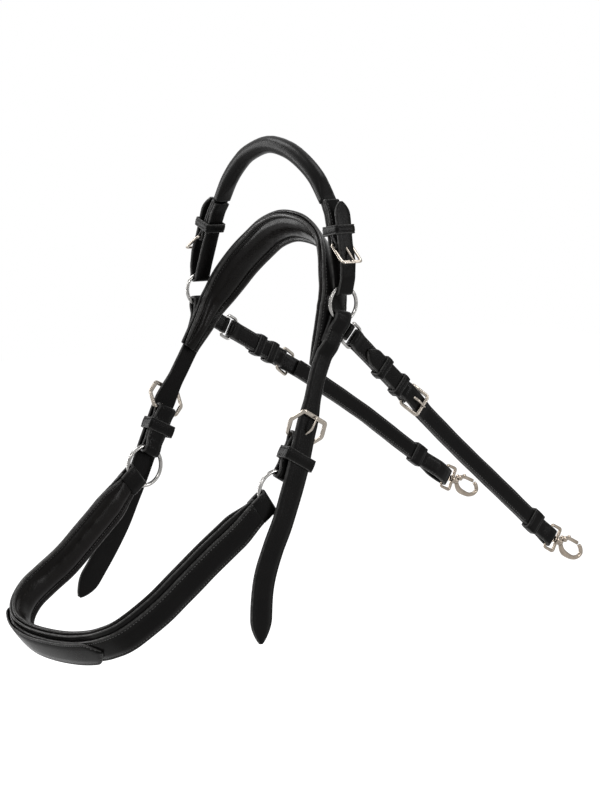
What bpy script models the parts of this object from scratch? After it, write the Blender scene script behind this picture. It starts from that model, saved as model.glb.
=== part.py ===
"""A horse's neck strap with a rolled hand strap, a padded neck piece, a padded chest band and two snap straps.

The strap is modelled as it lies on a horse that faces -Y, with +Z up and +X on the near side.
The origin is on the inner face of the neck piece, in the middle, where the crest of the neck bears.
A route is a smooth line down the middle of a strap. Its stations give a point, the running
direction, the direction across the width and the direction out of the leather.
"""
import math

import bmesh
import bpy
from mathutils import Matrix, Vector

MM = 0.001

# Strap leather
BILLET_WIDTH = 25.4 * MM
BILLET_THICK = 3.0 * MM
CHAPE_THICK = 2.8 * MM
SNAP_STRAP_WIDTH = 18.0 * MM
SNAP_STRAP_THICK = 2.8 * MM
HAND_STRAP_WIDTH = 18.0 * MM
HAND_STRAP_THICK = 2.8 * MM
KEEPER_THICK = 2.2 * MM
MAIN_KEEPER_LENGTH = 12.0 * MM
SMALL_KEEPER_LENGTH = 9.0 * MM
KEEPER_FILLET = 1.4 * MM
ROLL_DIAMETER = 17.0 * MM
ROLL_FLAT_LENGTH = 26.0 * MM
ROLL_END_DEPTH = 8.4 * MM
BILLET_FOLD_LENGTH = 30.0 * MM
BILLET_RING_WIDTH = 20.0 * MM
BILLET_NARROW_FLAT = 88.0 * MM
BILLET_NARROW_LENGTH = 30.0 * MM
BILLET_STEP = 9.0 * MM
BILLET_POINT = 24.0 * MM
SMALL_POINT = 12.0 * MM
TIP_BLUNT = 5.0 * MM
HOLE_PLAY = 1.0 * MM
BILLET_HOLE_LENGTH = 15.6 * MM
SMALL_HOLE_LENGTH = 14.0 * MM
TOUCH_GAP = 0.3 * MM
LAYER_PITCH = 7.0 * MM
CROWN_GAP = 0.5 * MM
CHEST_GAP = 0.8 * MM
LAYER_GAP = 0.3 * MM

# Neck piece
CROWN_WIDTH = 38.0 * MM
CROWN_THICK = 3.0 * MM
CROWN_PAD_WIDTH = 37.0 * MM
CROWN_PAD_DEPTH = 7.0 * MM
RIM_WIDTH = 5.0 * MM
RIM_VALLEY = 1.8 * MM
PAD_THIN_LENGTH = 14.0 * MM
CROWN_END_MARGIN = 3.0 * MM
CROWN_END_WIDTH = 23.0 * MM
CROWN_TAPER_LENGTH = 90.0 * MM

# Chest band
CHEST_WIDTH = 33.0 * MM
CHEST_BACKING_THICK = 2.4 * MM
CHEST_STRAP_WIDTH = 27.0 * MM
CHEST_STRAP_THICK = 2.8 * MM
CHEST_STRAP_SHIFT = 2.2 * MM
CHEST_PAD_WIDTH = 34.5 * MM
CHEST_PAD_DEPTH = 6.0 * MM
OVERLAY_WIDTH = 30.0 * MM
OVERLAY_THICK = 1.8 * MM
OVERLAY_LENGTH = 160.0 * MM
OVERLAY_SHIFT = -16.5 * MM
OVERLAY_POINT = 20.0 * MM
OVERLAY_BLUNT = 4.0 * MM
TAB_RING_WIDTH = 25.0 * MM
TAB_END_WIDTH = 29.0 * MM
TAB_LENGTH = 30.0 * MM
CHEST_END_MARGIN = 2.5 * MM
CHEST_END_TAPER = 38.0 * MM
CHEST_LAYER_STEP = 1.0 * MM

# Rings, dees and buckles
WIRE_CLEARANCE = 0.35 * MM
FOLD_EASE = 0.8 * MM
UPPER_RING_PLAY = 3.0 * MM
UPPER_RING_WIRE = 3.6 * MM
UPPER_RING_DIAMETER = BILLET_WIDTH + UPPER_RING_PLAY + UPPER_RING_WIRE
LOWER_RING_DIAMETER = 40.0 * MM
LOWER_RING_WIRE = 4.0 * MM
DEE_WIRE = 3.2 * MM
DEE_DEPTH = 12.0 * MM
DEE_PLAY = 1.2 * MM
DEE_CORNER = 1.6 * MM
DEE_DROP = 1.3 * MM
DEE_BOW_RADIUS = 3.6 * MM
DEE_TAB_THICK = 1.6 * MM
DEE_TAB_WIDTH = 16.0 * MM
DEE_FLANGE_THICK = 1.7 * MM
DEE_FLANGE_LENGTH = 19.0 * MM
MAIN_BUCKLE_WIRE = 3.8 * MM
MAIN_BUCKLE_LENGTH = 24.0 * MM
MAIN_BUCKLE_PLAY = 3.6 * MM
MAIN_BUCKLE_FLARE = 13.0 * MM
MAIN_BUCKLE_LIFT = 10.8 * MM
SMALL_BUCKLE_WIRE = 3.0 * MM
SMALL_BUCKLE_LENGTH = 20.0 * MM
SMALL_BUCKLE_PLAY = 5.0 * MM
SNAP_BUCKLE_LIFT = 7.2 * MM
TONGUE_WIRE = 2.6 * MM
TONGUE_REST_GAP = 0.1 * MM
TONGUE_PAST_BAR = 1.5 * MM

# Snap hooks
SNAP_EYE_WIRE = 3.0 * MM
SNAP_EYE_PLAY = 3.8 * MM
SNAP_EYE_DEPTH = 13.2 * MM
SNAP_EYE_CORNER = 2.0 * MM
SWIVEL_BOSS_DIAMETER = 8.6 * MM
SWIVEL_BOSS_LENGTH = 4.6 * MM
SWIVEL_STEM_DIAMETER = 4.0 * MM
SWIVEL_HEAD_DIAMETER = 6.4 * MM
SWIVEL_HEAD_LENGTH = 1.8 * MM
HOOK_WIRE = 4.2 * MM
HOOK_WIDTH = 18.0 * MM
HOOK_LENGTH = 32.0 * MM
HOOK_NECK_LENGTH = 5.0 * MM
GATE_WIRE = 3.0 * MM
GATE_PIN_DIAMETER = 1.4 * MM
GATE_REACH = 0.7 * HOOK_LENGTH
HOOK_EAR_RADIUS = 3.2 * MM
HOOK_EAR_THICK = 1.4 * MM
GATE_KNUCKLE_RADIUS = 1.9 * MM
PIN_HEAD_LENGTH = 0.4 * MM

# Places that mating pieces share
SIDE_X = 106.0 * MM
RING_CENTRE_Y = -20.0 * MM
RING_CENTRE_Z = -64.0 * MM
LOWER_RING_X = 108.0 * MM
LOWER_RING_Y = -95.5 * MM
LOWER_RING_Z = -238.5 * MM
MAIN_CHAPE_LENGTH = {"near": 54.8 * MM, "off": 60.2 * MM}
MAIN_CHAPE_LEAN = {"near": math.radians(28.9), "off": math.radians(25.1)}
MAIN_CHAPE_WIDTH = 22.0 * MM
CHAPE_RING_WIDTH = 19.0 * MM
CHAPE_NARROW_LENGTH = 16.0 * MM
MAIN_KEEPER_AT = 18.0 * MM
MAIN_KEEPER_ROOM = {"near": 7.6 * MM, "off": 3.2 * MM}
MAIN_KEEPER_OVER = {"near": 4.4 * MM, "off": 1.7 * MM}
ROUTE_LEAD = 60.0 * MM

LEATHER = (0.022, 0.022, 0.024)
LINING = (0.030, 0.029, 0.030)
NICKEL = (0.74, 0.71, 0.67)

# Routes down the middle of each strap, in millimetres
CROWN_ROUTE = [
    (-106, -40.5, -124), (-106, -30.5, -108), (-106, -21, -94), (-106, -12, -80), (-102.5, -3.5, -67),
    (-93, 3, -51), (-78, 7, -34.5), (-55, 8.5, -17.5), (-30, 8, -3), (0, 5.6, 4.7), (30, 4, 3), (55, -0.5, -4),
    (78, -10, -13), (93, -17, -27), (102, -21.5, -49), (105.6, -25, -63), (106, -27, -72),
    (106, -29.5, -80), (106, -34.5, -96), (106, -41.5, -117), (106, -45, -126)]
BILLET_ROUTE = {
    "near": [
        (106, -20, -64), (106, -24, -80), (106, -32, -97), (106, -41, -114), (107, -49, -131),
        (108, -54.8, -149), (108.8, -59.8, -166), (109.6, -66, -184), (110.4, -71.3, -201),
        (111.2, -76.3, -218), (112, -85.5, -242), (113, -96, -267), (113.5, -107.5, -290),
        (113.5, -117, -315), (113.5, -121, -340), (113.5, -122, -378)],
    "off": [
        (-106, -20, -64), (-106, -20.5, -80), (-106, -23.5, -97), (-106, -30, -114), (-107, -39.5, -131),
        (-108.4, -49.5, -149), (-109.6, -59.5, -166), (-110.4, -69, -184), (-110.8, -76.5, -201),
        (-111.2, -84, -218), (-112, -95, -244), (-113, -108, -272), (-113.5, -122, -300),
        (-113.5, -139, -326), (-113.5, -155, -348), (-113.5, -168, -365)]}
CHEST_ROUTE = [
    (108, -95.5, -238.5), (107.8, -117.8, -254.8), (106.5, -141, -272.4), (103.5, -170, -294),
    (99.5, -198, -317.2), (92, -221, -339), (76, -244, -361), (55, -252, -372), (30, -255, -379),
    (0, -258.5, -383.2), (-35, -261.5, -384.2), (-60, -262.6, -382), (-78.5, -261.6, -376),
    (-92.8, -253.9, -364.5), (-101.2, -239, -351.3), (-105.4, -218.5, -339), (-106, -194.4, -323.5),
    (-106.5, -169.5, -302), (-107.2, -144.5, -280), (-107.8, -119.5, -258), (-108, -95.5, -238.5)]
ROLL_ROUTE = [
    (-77, 29.0), (-64.5, 48.4), (-49, 64.3), (-31, 76.2), (-1.2, 84.7), (27, 81), (50.8, 71),
    (74, 54.6), (92, 32)]
SNAP_ROUTE = {
    "near": [
        (3.5, -100.5), (31, -124.5), (66, -155), (125, -206.5), (172, -244.8), (222, -285.5), (264, -319.8)],
    "off": [
        (14, -106.8), (50, -126), (91, -147.8), (145, -179.2), (190, -207), (222, -228.7), (264, -257.2),
        (306, -285.7)]}

ACROSS_NECK = Vector((0, 0.647, -0.762))
ACROSS_BILLET = (0, 0.9, -0.43)
SIDES = {"near": 1, "off": -1}

# Snap straps: distances from the dee to the buckle, and back from the buckle or the hook's eye
SNAP_ACROSS = {"near": (0, 0.629, 0.777), "off": (0, 0.5, 0.866)}
SNAP_HEEL = {"near": 86.0 * MM, "off": 70.0 * MM}
SNAP_KEEPERS_BACK = {"near": (42.0 * MM, 14.0 * MM), "off": (32.0 * MM, 14.0 * MM)}
SNAP_SLIDER_BACK = {"near": 28.0 * MM, "off": 48.6 * MM}
SNAP_LOOP_BOW = {"near": 0.0, "off": 5.5 * MM}
SNAP_LOOP_LENGTH = 35.0 * MM
HOOK_TURN = {"near": math.radians(12), "off": math.radians(10)}
SNAP_TIP_AT = 18.0 * MM
SNAP_KEEPER_PLAY = 1.4 * MM
SLIDER_LENGTH = 16.0 * MM
SLIDER_PLAY = 0.4 * MM
SNAP_CHAPE_THICK = 2.6 * MM
SNAP_HOLE_BACK = 2.2 * MM

# Hand strap: the heights between which its sides are laid out, then (x, z) pairs in millimetres
HAND_FRAME_TOP = 40.0 * MM
HAND_FRAME_FOOT = -90.0 * MM
HAND_INNER_LEG = [(90.2, 29.0), (95.2, 20), (100.8, 0), (105.5, -20), (109.3, -38)]
HAND_OUTER_LEG = [(121.5, -40), (121.5, -24), (117, -9), (114.5, 5), (112, 18), (108, 32)]
HAND_CHAPE_START = (94.0, 31.5)
HAND_CHAPE_BEND = [(99.6, 20), (104.6, 6)]
HAND_BAR = (110.0, -8.0)
HAND_FAR_BAR = (127.0, -23.0)
HAND_KEEPER_AXIS = [(108.2, -4), (104.5, 14)]
HAND_LEAN = {"near": math.radians(-2), "off": math.radians(9.5)}
HAND_KEEPER_DEPTH = 20.0 * MM
HAND_KEEPER_PLAY = 1.6 * MM
HAND_HOLE_BACK = 2.0 * MM
HAND_HOLE_LENGTH = 15.0 * MM
HAND_CHAPE_THICK = 2.2 * MM

# Levels and places that follow from the sizes above
MAIN_BUCKLE_END_WIDTH = BILLET_WIDTH + MAIN_BUCKLE_PLAY
MAIN_BUCKLE_FLARE_WIDTH = MAIN_BUCKLE_END_WIDTH + MAIN_BUCKLE_FLARE
SMALL_BUCKLE_WIDTH = SNAP_STRAP_WIDTH + SMALL_BUCKLE_PLAY
SNAP_EYE_WIDTH = SNAP_STRAP_WIDTH + SNAP_EYE_WIRE + SNAP_EYE_PLAY
LOWER_RING_CENTRE = Vector((LOWER_RING_X, LOWER_RING_Y, LOWER_RING_Z))
BUCKLE_BAR = {side: LOWER_RING_CENTRE + MAIN_CHAPE_LENGTH[side] * Vector(
    (0, math.sin(MAIN_CHAPE_LEAN[side]), math.cos(MAIN_CHAPE_LEAN[side]))) for side in SIDES}
BILLET_LEVEL = CROWN_THICK + CROWN_GAP / 2 + 1.3 * CROWN_GAP + BILLET_THICK / 2
UPPER_RING_X = SIDE_X + BILLET_LEVEL + UPPER_RING_WIRE / 2 + WIRE_CLEARANCE + BILLET_THICK / 2
HAND_FOLD_Z = RING_CENTRE_Z + UPPER_RING_WIRE / 2 + math.sqrt(
    ((UPPER_RING_DIAMETER - UPPER_RING_WIRE) ** 2 - HAND_STRAP_WIDTH ** 2) / 4)


def start_clean(name):
    """Empty the file and give back a new collection for the parts."""
    for old in list(bpy.data.objects):
        bpy.data.objects.remove(old, do_unlink=True)
    collection = bpy.data.collections.new(name)
    bpy.context.scene.collection.children.link(collection)
    return collection


def material(name, colour, roughness, metallic):
    """A plain Principled material."""
    made = bpy.data.materials.new(name)
    made.use_nodes = True
    shader = made.node_tree.nodes["Principled BSDF"]
    shader.inputs["Base Color"].default_value = (*colour, 1.0)
    shader.inputs["Roughness"].default_value = roughness
    shader.inputs["Metallic"].default_value = metallic
    return made


def leather(name):
    return material(name + "_leather", LEATHER, 0.55, 0.0)


def metal(name):
    return material(name + "_nickel", NICKEL, 0.25, 1.0)


def catmull(points, per_span):
    """A smooth line through the points."""
    knots = [Vector(point) for point in points]
    ends = [2 * knots[0] - knots[1]] + knots + [2 * knots[-1] - knots[-2]]
    line = []
    for index in range(1, len(ends) - 2):
        before, here, there, after = ends[index - 1:index + 3]
        for step in range(per_span):
            t = step / per_span
            line.append(0.5 * (
                2 * here + (there - before) * t
                + (2 * before - 5 * here + 4 * there - after) * t * t
                + (3 * here - before - 3 * there + after) * t ** 3))
    line.append(knots[-1])
    return line


class Route:
    """A smooth line with a width direction; side is 1 where across x along points out, else -1."""

    def __init__(self, points, across, side=1):
        self.line = catmull(points, 12)
        self.across_hint = Vector(across).normalized()
        self.side = side
        self.marks = [0.0]
        for first, second in zip(self.line, self.line[1:]):
            self.marks.append(self.marks[-1] + (second - first).length)
        self.length = self.marks[-1]

    def middle(self, s):
        """The point at the distance s, straight on past either end."""
        if s <= 0:
            return self.line[0] + (self.line[1] - self.line[0]).normalized() * s
        if s >= self.length:
            return self.line[-1] + (self.line[-1] - self.line[-2]).normalized() * (s - self.length)
        low = 0
        high = len(self.marks) - 1
        while high - low > 1:
            half = (low + high) // 2
            if self.marks[half] <= s:
                low = half
            else:
                high = half
        share = (s - self.marks[low]) / (self.marks[high] - self.marks[low])
        return self.line[low].lerp(self.line[high], share)

    def frame(self, s):
        """Running direction, direction across and direction out at s."""
        reach = 2.0 * MM
        along = (self.middle(s + reach) - self.middle(s - reach)).normalized()
        across = (self.across_hint - along * self.across_hint.dot(along)).normalized()
        return along, across, along.cross(across) * self.side

    def point(self, s, out=0.0, over=0.0):
        """The point at s, moved out of the leather and over across it."""
        along, across, outward = self.frame(s)
        return self.middle(s) + outward * out + across * over

    def nearest(self, place):
        """The distance along the route of the point nearest to a place."""
        best = min(range(len(self.line)), key=lambda index: (self.line[index] - place).length)
        return self.marks[best]


def fill(points, longest):
    """The same 2D or 3D line with its long legs split."""
    line = [Vector(points[0])]
    for point in points[1:]:
        start = line[-1]
        leg = Vector(point) - start
        pieces = max(1, math.ceil(leg.length / longest - 1e-9))
        for piece in range(1, pieces + 1):
            line.append(start + leg * piece / pieces)
    return line


def line_length(points):
    return sum((Vector(there) - Vector(here)).length for here, there in zip(points, points[1:]))


def arc(centre, radius, start, end, steps):
    """Points of a 2D arc, in degrees."""
    points = []
    for step in range(steps + 1):
        angle = math.radians(start + (end - start) * step / steps)
        points.append((centre[0] + radius * math.cos(angle), centre[1] + radius * math.sin(angle)))
    return points


def add_mesh(parts, name, vertices, faces, skin):
    """An object from vertices and faces, with its faces turned out."""
    mesh = bpy.data.meshes.new(name)
    mesh.from_pydata([tuple(vertex) for vertex in vertices], [], faces)
    shell = bmesh.new()
    shell.from_mesh(mesh)
    bmesh.ops.recalc_face_normals(shell, faces=shell.faces)
    shell.to_mesh(mesh)
    shell.free()
    made = bpy.data.objects.new(name, mesh)
    made.data.materials.append(skin)
    parts.objects.link(made)
    return made


def loft(parts, name, sections, skin, closed=False):
    """A closed body through sections that all have the same number of points."""
    count = len(sections[0])
    vertices = [point for section in sections for point in section]
    spans = len(sections) if closed else len(sections) - 1
    faces = []
    for span in range(spans):
        here = span * count
        there = (span + 1) % len(sections) * count
        for corner in range(count):
            after = (corner + 1) % count
            faces.append((here + corner, here + after, there + after, there + corner))
    if not closed:
        faces.append(tuple(range(count)))
        last = (len(sections) - 1) * count
        faces.append(tuple(range(last, last + count)))
    return add_mesh(parts, name, vertices, faces, skin)


def value_at(size, share):
    return size(share) if callable(size) else size


def strap_sections(line, across, outward, width, thick):
    """Rectangular sections of leather along a line, whose three lists run side by side."""
    lengths = [0.0]
    for first, second in zip(line, line[1:]):
        lengths.append(lengths[-1] + (second - first).length)
    sections = []
    for index, point in enumerate(line):
        distance = lengths[index]
        half = across[index] * value_at(width, distance) / 2
        lift = outward[index] * value_at(thick, distance) / 2
        sections.append([point - half - lift, point + half - lift, point + half + lift, point - half + lift])
    return sections


def folded_strap(parts, name, route, profile, width, thick, skin, closed=False, longest=14 * MM, shift=0.0):
    """Leather that follows a profile of (along, out) pairs laid on a route."""
    flat = fill(profile + profile[:1] if closed else profile, longest)
    if closed:
        flat = flat[:-1]
    line = []
    across = []
    outward = []
    last = len(flat) - 1
    for index, (s, out) in enumerate(flat):
        before = flat[index - 1] if index > 0 or closed else flat[0]
        after = flat[(index + 1) % len(flat)] if index < last or closed else flat[last]
        along, over, outer = route.frame(s)
        turn = after - before
        direction = Vector((turn[0], turn[1])).normalized()
        line.append(route.point(s, out, value_at(shift, s)))
        across.append(over)
        outward.append(outer * direction[0] - along * direction[1])
    return loft(parts, name, strap_sections(line, across, outward, width, thick), skin, closed)


def belt(first, first_radius, first_slot, second, second_radius, second_slot, thick):
    """A closed profile of two layers that goes round a bar at each end; a radius of 0 is a plain end.

    A slot lets the bar bow by that much towards the other end of its loop.
    """
    lay = thick / 2 + LAYER_GAP / 2
    loop_first = max(first_radius, lay)
    loop_second = max(second_radius, lay)
    ease_first = 2.2 * (loop_first - lay)
    ease_second = 2.2 * (loop_second - lay)
    first_inner = first + first_slot
    second_inner = second - second_slot
    profile = arc((first, 0), loop_first, 270, 90, 10)
    out = []
    if first_slot > 0:
        out.append((first_inner, loop_first))
    if ease_first > 0:
        out.append((first_inner + ease_first + loop_first / 2, lay))
    if ease_second > 0:
        out.append((second_inner - ease_second - loop_second / 2, lay))
    if second_slot > 0:
        out.append((second_inner, loop_second))
    profile += out + arc((second, 0), loop_second, 90, -90, 10)
    profile += [(s, -level) for s, level in reversed(out)]
    return profile


def wire(parts, name, points, radius, skin, closed=False, sides=2):
    """A round wire along a line of points, as a mesh."""
    curve = bpy.data.curves.new(name, "CURVE")
    curve.dimensions = "3D"
    curve.bevel_depth = radius
    curve.bevel_resolution = sides
    curve.use_fill_caps = True
    spline = curve.splines.new("POLY")
    spline.points.add(len(points) - 1)
    for knot, point in zip(spline.points, points):
        knot.co = (*point, 1.0)
    spline.use_cyclic_u = closed
    made = bpy.data.objects.new(name, curve)
    parts.objects.link(made)
    return to_mesh(parts, made, skin)


def to_mesh(parts, source, skin):
    """Turn a curve object into a mesh object of the same name, with its caps welded."""
    graph = bpy.context.evaluated_depsgraph_get()
    graph.update()
    mesh = bpy.data.meshes.new_from_object(source.evaluated_get(graph))
    shell = bmesh.new()
    shell.from_mesh(mesh)
    bmesh.ops.remove_doubles(shell, verts=shell.verts, dist=0.00002)
    bmesh.ops.recalc_face_normals(shell, faces=shell.faces)
    shell.to_mesh(mesh)
    shell.free()
    name = source.name
    place = source.matrix_world.copy()
    bpy.data.objects.remove(source, do_unlink=True)
    made = bpy.data.objects.new(name, mesh)
    made.matrix_world = place
    made.data.materials.clear()
    made.data.materials.append(skin)
    parts.objects.link(made)
    return made


def ring(parts, name, centre, diameter, thickness, skin):
    """A round ring whose axis is X; diameter is that of the middle of the wire."""
    bpy.ops.mesh.primitive_torus_add(
        major_segments=36, minor_segments=8, major_radius=diameter / 2, minor_radius=thickness / 2,
        location=centre, rotation=(0, math.pi / 2, 0))
    made = bpy.context.object
    return adopt(parts, made, name, skin)


def adopt(parts, made, name, skin):
    """Name a primitive and move it into the parts."""
    for holder in list(made.users_collection):
        holder.objects.unlink(made)
    parts.objects.link(made)
    made.name = name
    made.data.name = name
    made.data.materials.clear()
    made.data.materials.append(skin)
    return made


def boolean(target, tool, operation):
    """Cut the tool out of the target, or join it, and use the tool up."""
    change = target.modifiers.new(operation.lower() + "_" + tool.name, "BOOLEAN")
    change.operation = operation
    change.solver = "EXACT"
    change.object = tool
    graph = bpy.context.evaluated_depsgraph_get()
    graph.update()
    mesh = bpy.data.meshes.new_from_object(target.evaluated_get(graph))
    target.modifiers.clear()
    old = target.data
    target.data = mesh
    mesh.name = old.name
    bpy.data.meshes.remove(old)
    bpy.data.objects.remove(tool, do_unlink=True)


def block(parts, route, s_low, s_high, half_width, out_low, out_high, over=0.0):
    """A box that follows a route's directions at its middle, used as a cutter."""
    middle = (s_low + s_high) / 2
    along, across, outward = route.frame(middle)
    centre = route.point(middle, (out_low + out_high) / 2, over)
    corners = []
    for a in (-1, 1):
        for b in (-1, 1):
            for c in (-1, 1):
                corners.append(
                    centre + along * a * (s_high - s_low) / 2 + across * b * half_width
                    + outward * c * (out_high - out_low) / 2)
    faces = [(0, 1, 3, 2), (4, 6, 7, 5), (0, 4, 5, 1), (2, 3, 7, 6), (0, 2, 6, 4), (1, 5, 7, 3)]
    return add_mesh(parts, "cutter", corners, faces, bpy.data.materials[0])


def rounded_loop(corners, radii, steps):
    """A closed 2D outline with each corner rounded by its own fillet."""
    outline = []
    count = len(corners)
    for index, corner in enumerate(corners):
        radius = radii[index]
        here = Vector(corner)
        back = (Vector(corners[index - 1]) - here).normalized()
        on = (Vector(corners[(index + 1) % count]) - here).normalized()
        half = math.acos(max(-1.0, min(1.0, back.dot(on)))) / 2
        reach = radius / math.tan(half)
        centre = here + (back + on).normalized() * radius / math.sin(half)
        start = (here + back * reach - centre) / radius
        end = (here + on * reach - centre) / radius
        sweep = math.pi - 2 * half
        for step in range(steps + 1):
            share = step / steps
            weight = math.sin((1 - share) * sweep) / math.sin(sweep)
            other = math.sin(share * sweep) / math.sin(sweep)
            outline.append(centre + (start * weight + end * other) * radius)
    return outline


class Buckle:
    """A frame on a folded strap's bar, with its tongue; toward is 1 or -1 along the route."""

    def __init__(self, route, bar_at, toward, length, lift, wire_size):
        self.route = route
        self.bar_at = bar_at
        self.toward = toward
        self.length = length
        self.lift = lift
        self.wire_size = wire_size

    def place(self, reach, over, out):
        """A point by its reach from the bar, straight across and out, in the bar's own directions."""
        along, across, outward = self.route.frame(self.bar_at)
        bar = self.route.middle(self.bar_at)
        return bar + along * reach * self.toward + across * over + outward * out

    def frame(self, parts, name, end_width, flare_width, skin):
        """The closed frame, widest in the middle where flare_width is more than end_width."""
        end = end_width / 2
        flare = flare_width / 2
        half = self.length / 2
        corners = [(0, -end), (half, -flare), (self.length, -end), (self.length, end), (half, flare), (0, end)]
        if flare <= end:
            corners = [corners[0], corners[2], corners[3], corners[5]]
        outline = rounded_loop(corners, [self.wire_size * 0.8] * len(corners), 3)
        points = [self.place(reach, over, self.lift * reach / self.length) for reach, over in outline]
        return wire(parts, name, points, self.wire_size / 2, skin, closed=True)

    def loop_radius(self):
        """Radius of the middle of the tongue's eye round the bar."""
        return self.wire_size / 2 + WIRE_CLEARANCE + TONGUE_WIRE / 2

    def tongue(self, parts, name, skin):
        """A tongue that hooks round the bar, rises through the strap and rests on the far bar."""
        eye = self.loop_radius()
        rest = self.lift + self.wire_size / 2 + TONGUE_WIRE / 2 + TONGUE_REST_GAP
        profile = arc((0, 0), eye, -25, -270, 9)
        profile += [
            (0.20 * self.length, eye + 0.22 * (rest - eye)),
            (0.38 * self.length, eye + 0.72 * (rest - eye)),
            (0.52 * self.length, rest),
            (self.length + TONGUE_PAST_BAR, rest)]
        points = [self.place(reach, 0, out) for reach, out in profile]
        return wire(parts, name, points, TONGUE_WIRE / 2, skin, sides=1)

    def slot(self, parts, target, strap_thick):
        """Open the fold round the bar for the tongue's eye."""
        eye_edge = self.loop_radius() + TONGUE_WIRE / 2 + TOUCH_GAP
        reach = eye_edge + strap_thick
        s_far = self.bar_at + self.toward * reach
        s_near = self.bar_at - self.toward * (eye_edge + TOUCH_GAP)
        cutter = block(
            parts, self.route, min(s_far, s_near), max(s_far, s_near),
            TONGUE_WIRE / 2 + TOUCH_GAP, -reach, reach)
        boolean(target, cutter, "DIFFERENCE")

    def hole(self, parts, target, low, high, strap_out, strap_thick):
        """Punch the oval that the tongue passes through."""
        s_low = self.bar_at + self.toward * low
        s_high = self.bar_at + self.toward * high
        cutter = block(
            parts, self.route, min(s_low, s_high), max(s_low, s_high),
            TONGUE_WIRE / 2 + HOLE_PLAY / 2, strap_out - 3 * strap_thick, strap_out + 3 * strap_thick)
        boolean(target, cutter, "DIFFERENCE")


def keeper(parts, name, route, at, length, width, out_low, out_high, skin, over=0.0):
    """A leather band round a strap; width and the two levels are those of its opening."""
    half = width / 2 + KEEPER_THICK / 2
    low = out_low - KEEPER_THICK / 2
    high = out_high + KEEPER_THICK / 2
    corners = [(-half, low), (half, low), (half, high), (-half, high)]
    outline = rounded_loop(corners, [KEEPER_FILLET] * 4, 2)
    along, across, outward = route.frame(at)
    middle = route.point(at, 0, over)
    sections = []
    for index, (side, out) in enumerate(outline):
        before = outline[index - 1]
        after = outline[(index + 1) % len(outline)]
        turn = (after - before).normalized()
        normal = across * turn[1] - outward * turn[0]
        point = middle + across * side + outward * out
        half_long = along * length / 2
        half_thick = normal * KEEPER_THICK / 2
        sections.append([
            point - half_long - half_thick, point + half_long - half_thick,
            point + half_long + half_thick, point - half_long + half_thick])
    return loft(parts, name, sections, skin, closed=True)


def tip_width(width, total, point_length, blunt):
    """Width that runs full and then narrows to a rounded tip."""
    def at(distance):
        left = total - distance
        if left >= point_length:
            return width
        share = max(0.0, left / point_length)
        return blunt + (width - blunt) * math.sin(share * math.pi / 2) ** 0.8
    return at


def waisted(width, narrow, middle, flat, length):
    """Width that is narrow for the flat distance each side of a ring's fold and widens over the length."""
    def at(distance):
        share = min(1.0, max(0.0, abs(distance - middle) - flat) / length)
        return narrow + (width - narrow) * share * share * (3 - 2 * share)
    return at


def crowned_section(route, s, width, depth, top):
    """A pad's section: flat against the strap, a rim at each edge and a crown between them."""
    along, across, outward = route.frame(s)
    middle = route.point(s, top)
    half = width / 2
    rim = min(RIM_WIDTH, half / 3)
    crown = half - rim
    shape = [
        (-half, 0), (half, 0), (half, -0.35 * depth), (half - rim / 2, -0.62 * depth),
        (crown, -0.62 * depth + RIM_VALLEY), (crown * 0.62, -0.90 * depth), (0, -depth),
        (-crown * 0.62, -0.90 * depth), (-crown, -0.62 * depth + RIM_VALLEY),
        (-half + rim / 2, -0.62 * depth), (-half, -0.35 * depth)]
    return [middle + across * side + outward * out for side, out in shape]


def pad(parts, name, route, start, end, width, depth, top, skin):
    """A crowned pad that thins at both ends; width may follow the distance from its start."""
    sections = []
    for s, level in pitched(start, end, LAYER_PITCH, top):
        near_end = min(s - start, end - s) / PAD_THIN_LENGTH
        share = min(1.0, 0.55 + 0.45 * near_end)
        narrow = min(1.0, 0.86 + 0.14 * near_end)
        full = value_at(width, s - start)
        sections.append(crowned_section(route, s, full * narrow, depth * share, level))
    return loft(parts, name, sections, skin)


def build_crown(parts, route):
    """The neck piece's top leather and its pad."""
    ends = CROWN_END_MARGIN
    lay = CROWN_THICK / 2 + CROWN_GAP / 2
    total = route.length - 2 * ends

    def narrowed(width):
        def at(distance):
            share = min(1.0, min(distance, total - distance) / CROWN_TAPER_LENGTH)
            return width - (CROWN_WIDTH - CROWN_END_WIDTH) * (1 - share * share * (3 - 2 * share))
        return at

    folded_strap(
        parts, "crown_strap", route, pitched(ends, route.length - ends, LAYER_PITCH, lay),
        narrowed(CROWN_WIDTH), CROWN_THICK, leather("crown_strap"))
    return pad(
        parts, "crown_pad", route, ends, route.length - ends, narrowed(CROWN_PAD_WIDTH), CROWN_PAD_DEPTH,
        -CROWN_GAP / 2, material("crown_pad_lining", LINING, 0.6, 0.0))


def plate(parts, name, outlines, half_thick, corner, along, up, skin):
    """A flat piece from closed outlines in the plane of along and up, thick to both sides of it."""
    curve = bpy.data.curves.new(name, "CURVE")
    curve.dimensions = "2D"
    curve.fill_mode = "BOTH"
    curve.extrude = half_thick
    for outline in outlines:
        spline = curve.splines.new("POLY")
        spline.points.add(len(outline) - 1)
        for knot, point in zip(spline.points, outline):
            knot.co = (point[0], point[1], 0.0, 1.0)
        spline.use_cyclic_u = True
    made = bpy.data.objects.new(name, curve)
    axis = along.cross(up)
    made.matrix_world = Matrix((
        (along[0], up[0], axis[0], corner[0]), (along[1], up[1], axis[1], corner[1]),
        (along[2], up[2], axis[2], corner[2]), (0, 0, 0, 1)))
    parts.objects.link(made)
    made = to_mesh(parts, made, skin)
    bake(made)
    return made


def bake(made):
    """Put the object's placement into its mesh."""
    made.data.transform(made.matrix_world)
    made.matrix_world = Matrix.Identity(4)


def fold_reach(diameter, wire_size, strap_width):
    """From a round wire's centre to the middle of the bend of a flat strap that is folded round it."""
    inner = (diameter - wire_size) / 2
    return math.sqrt(inner ** 2 - (strap_width / 2) ** 2) + wire_size / 2


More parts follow.
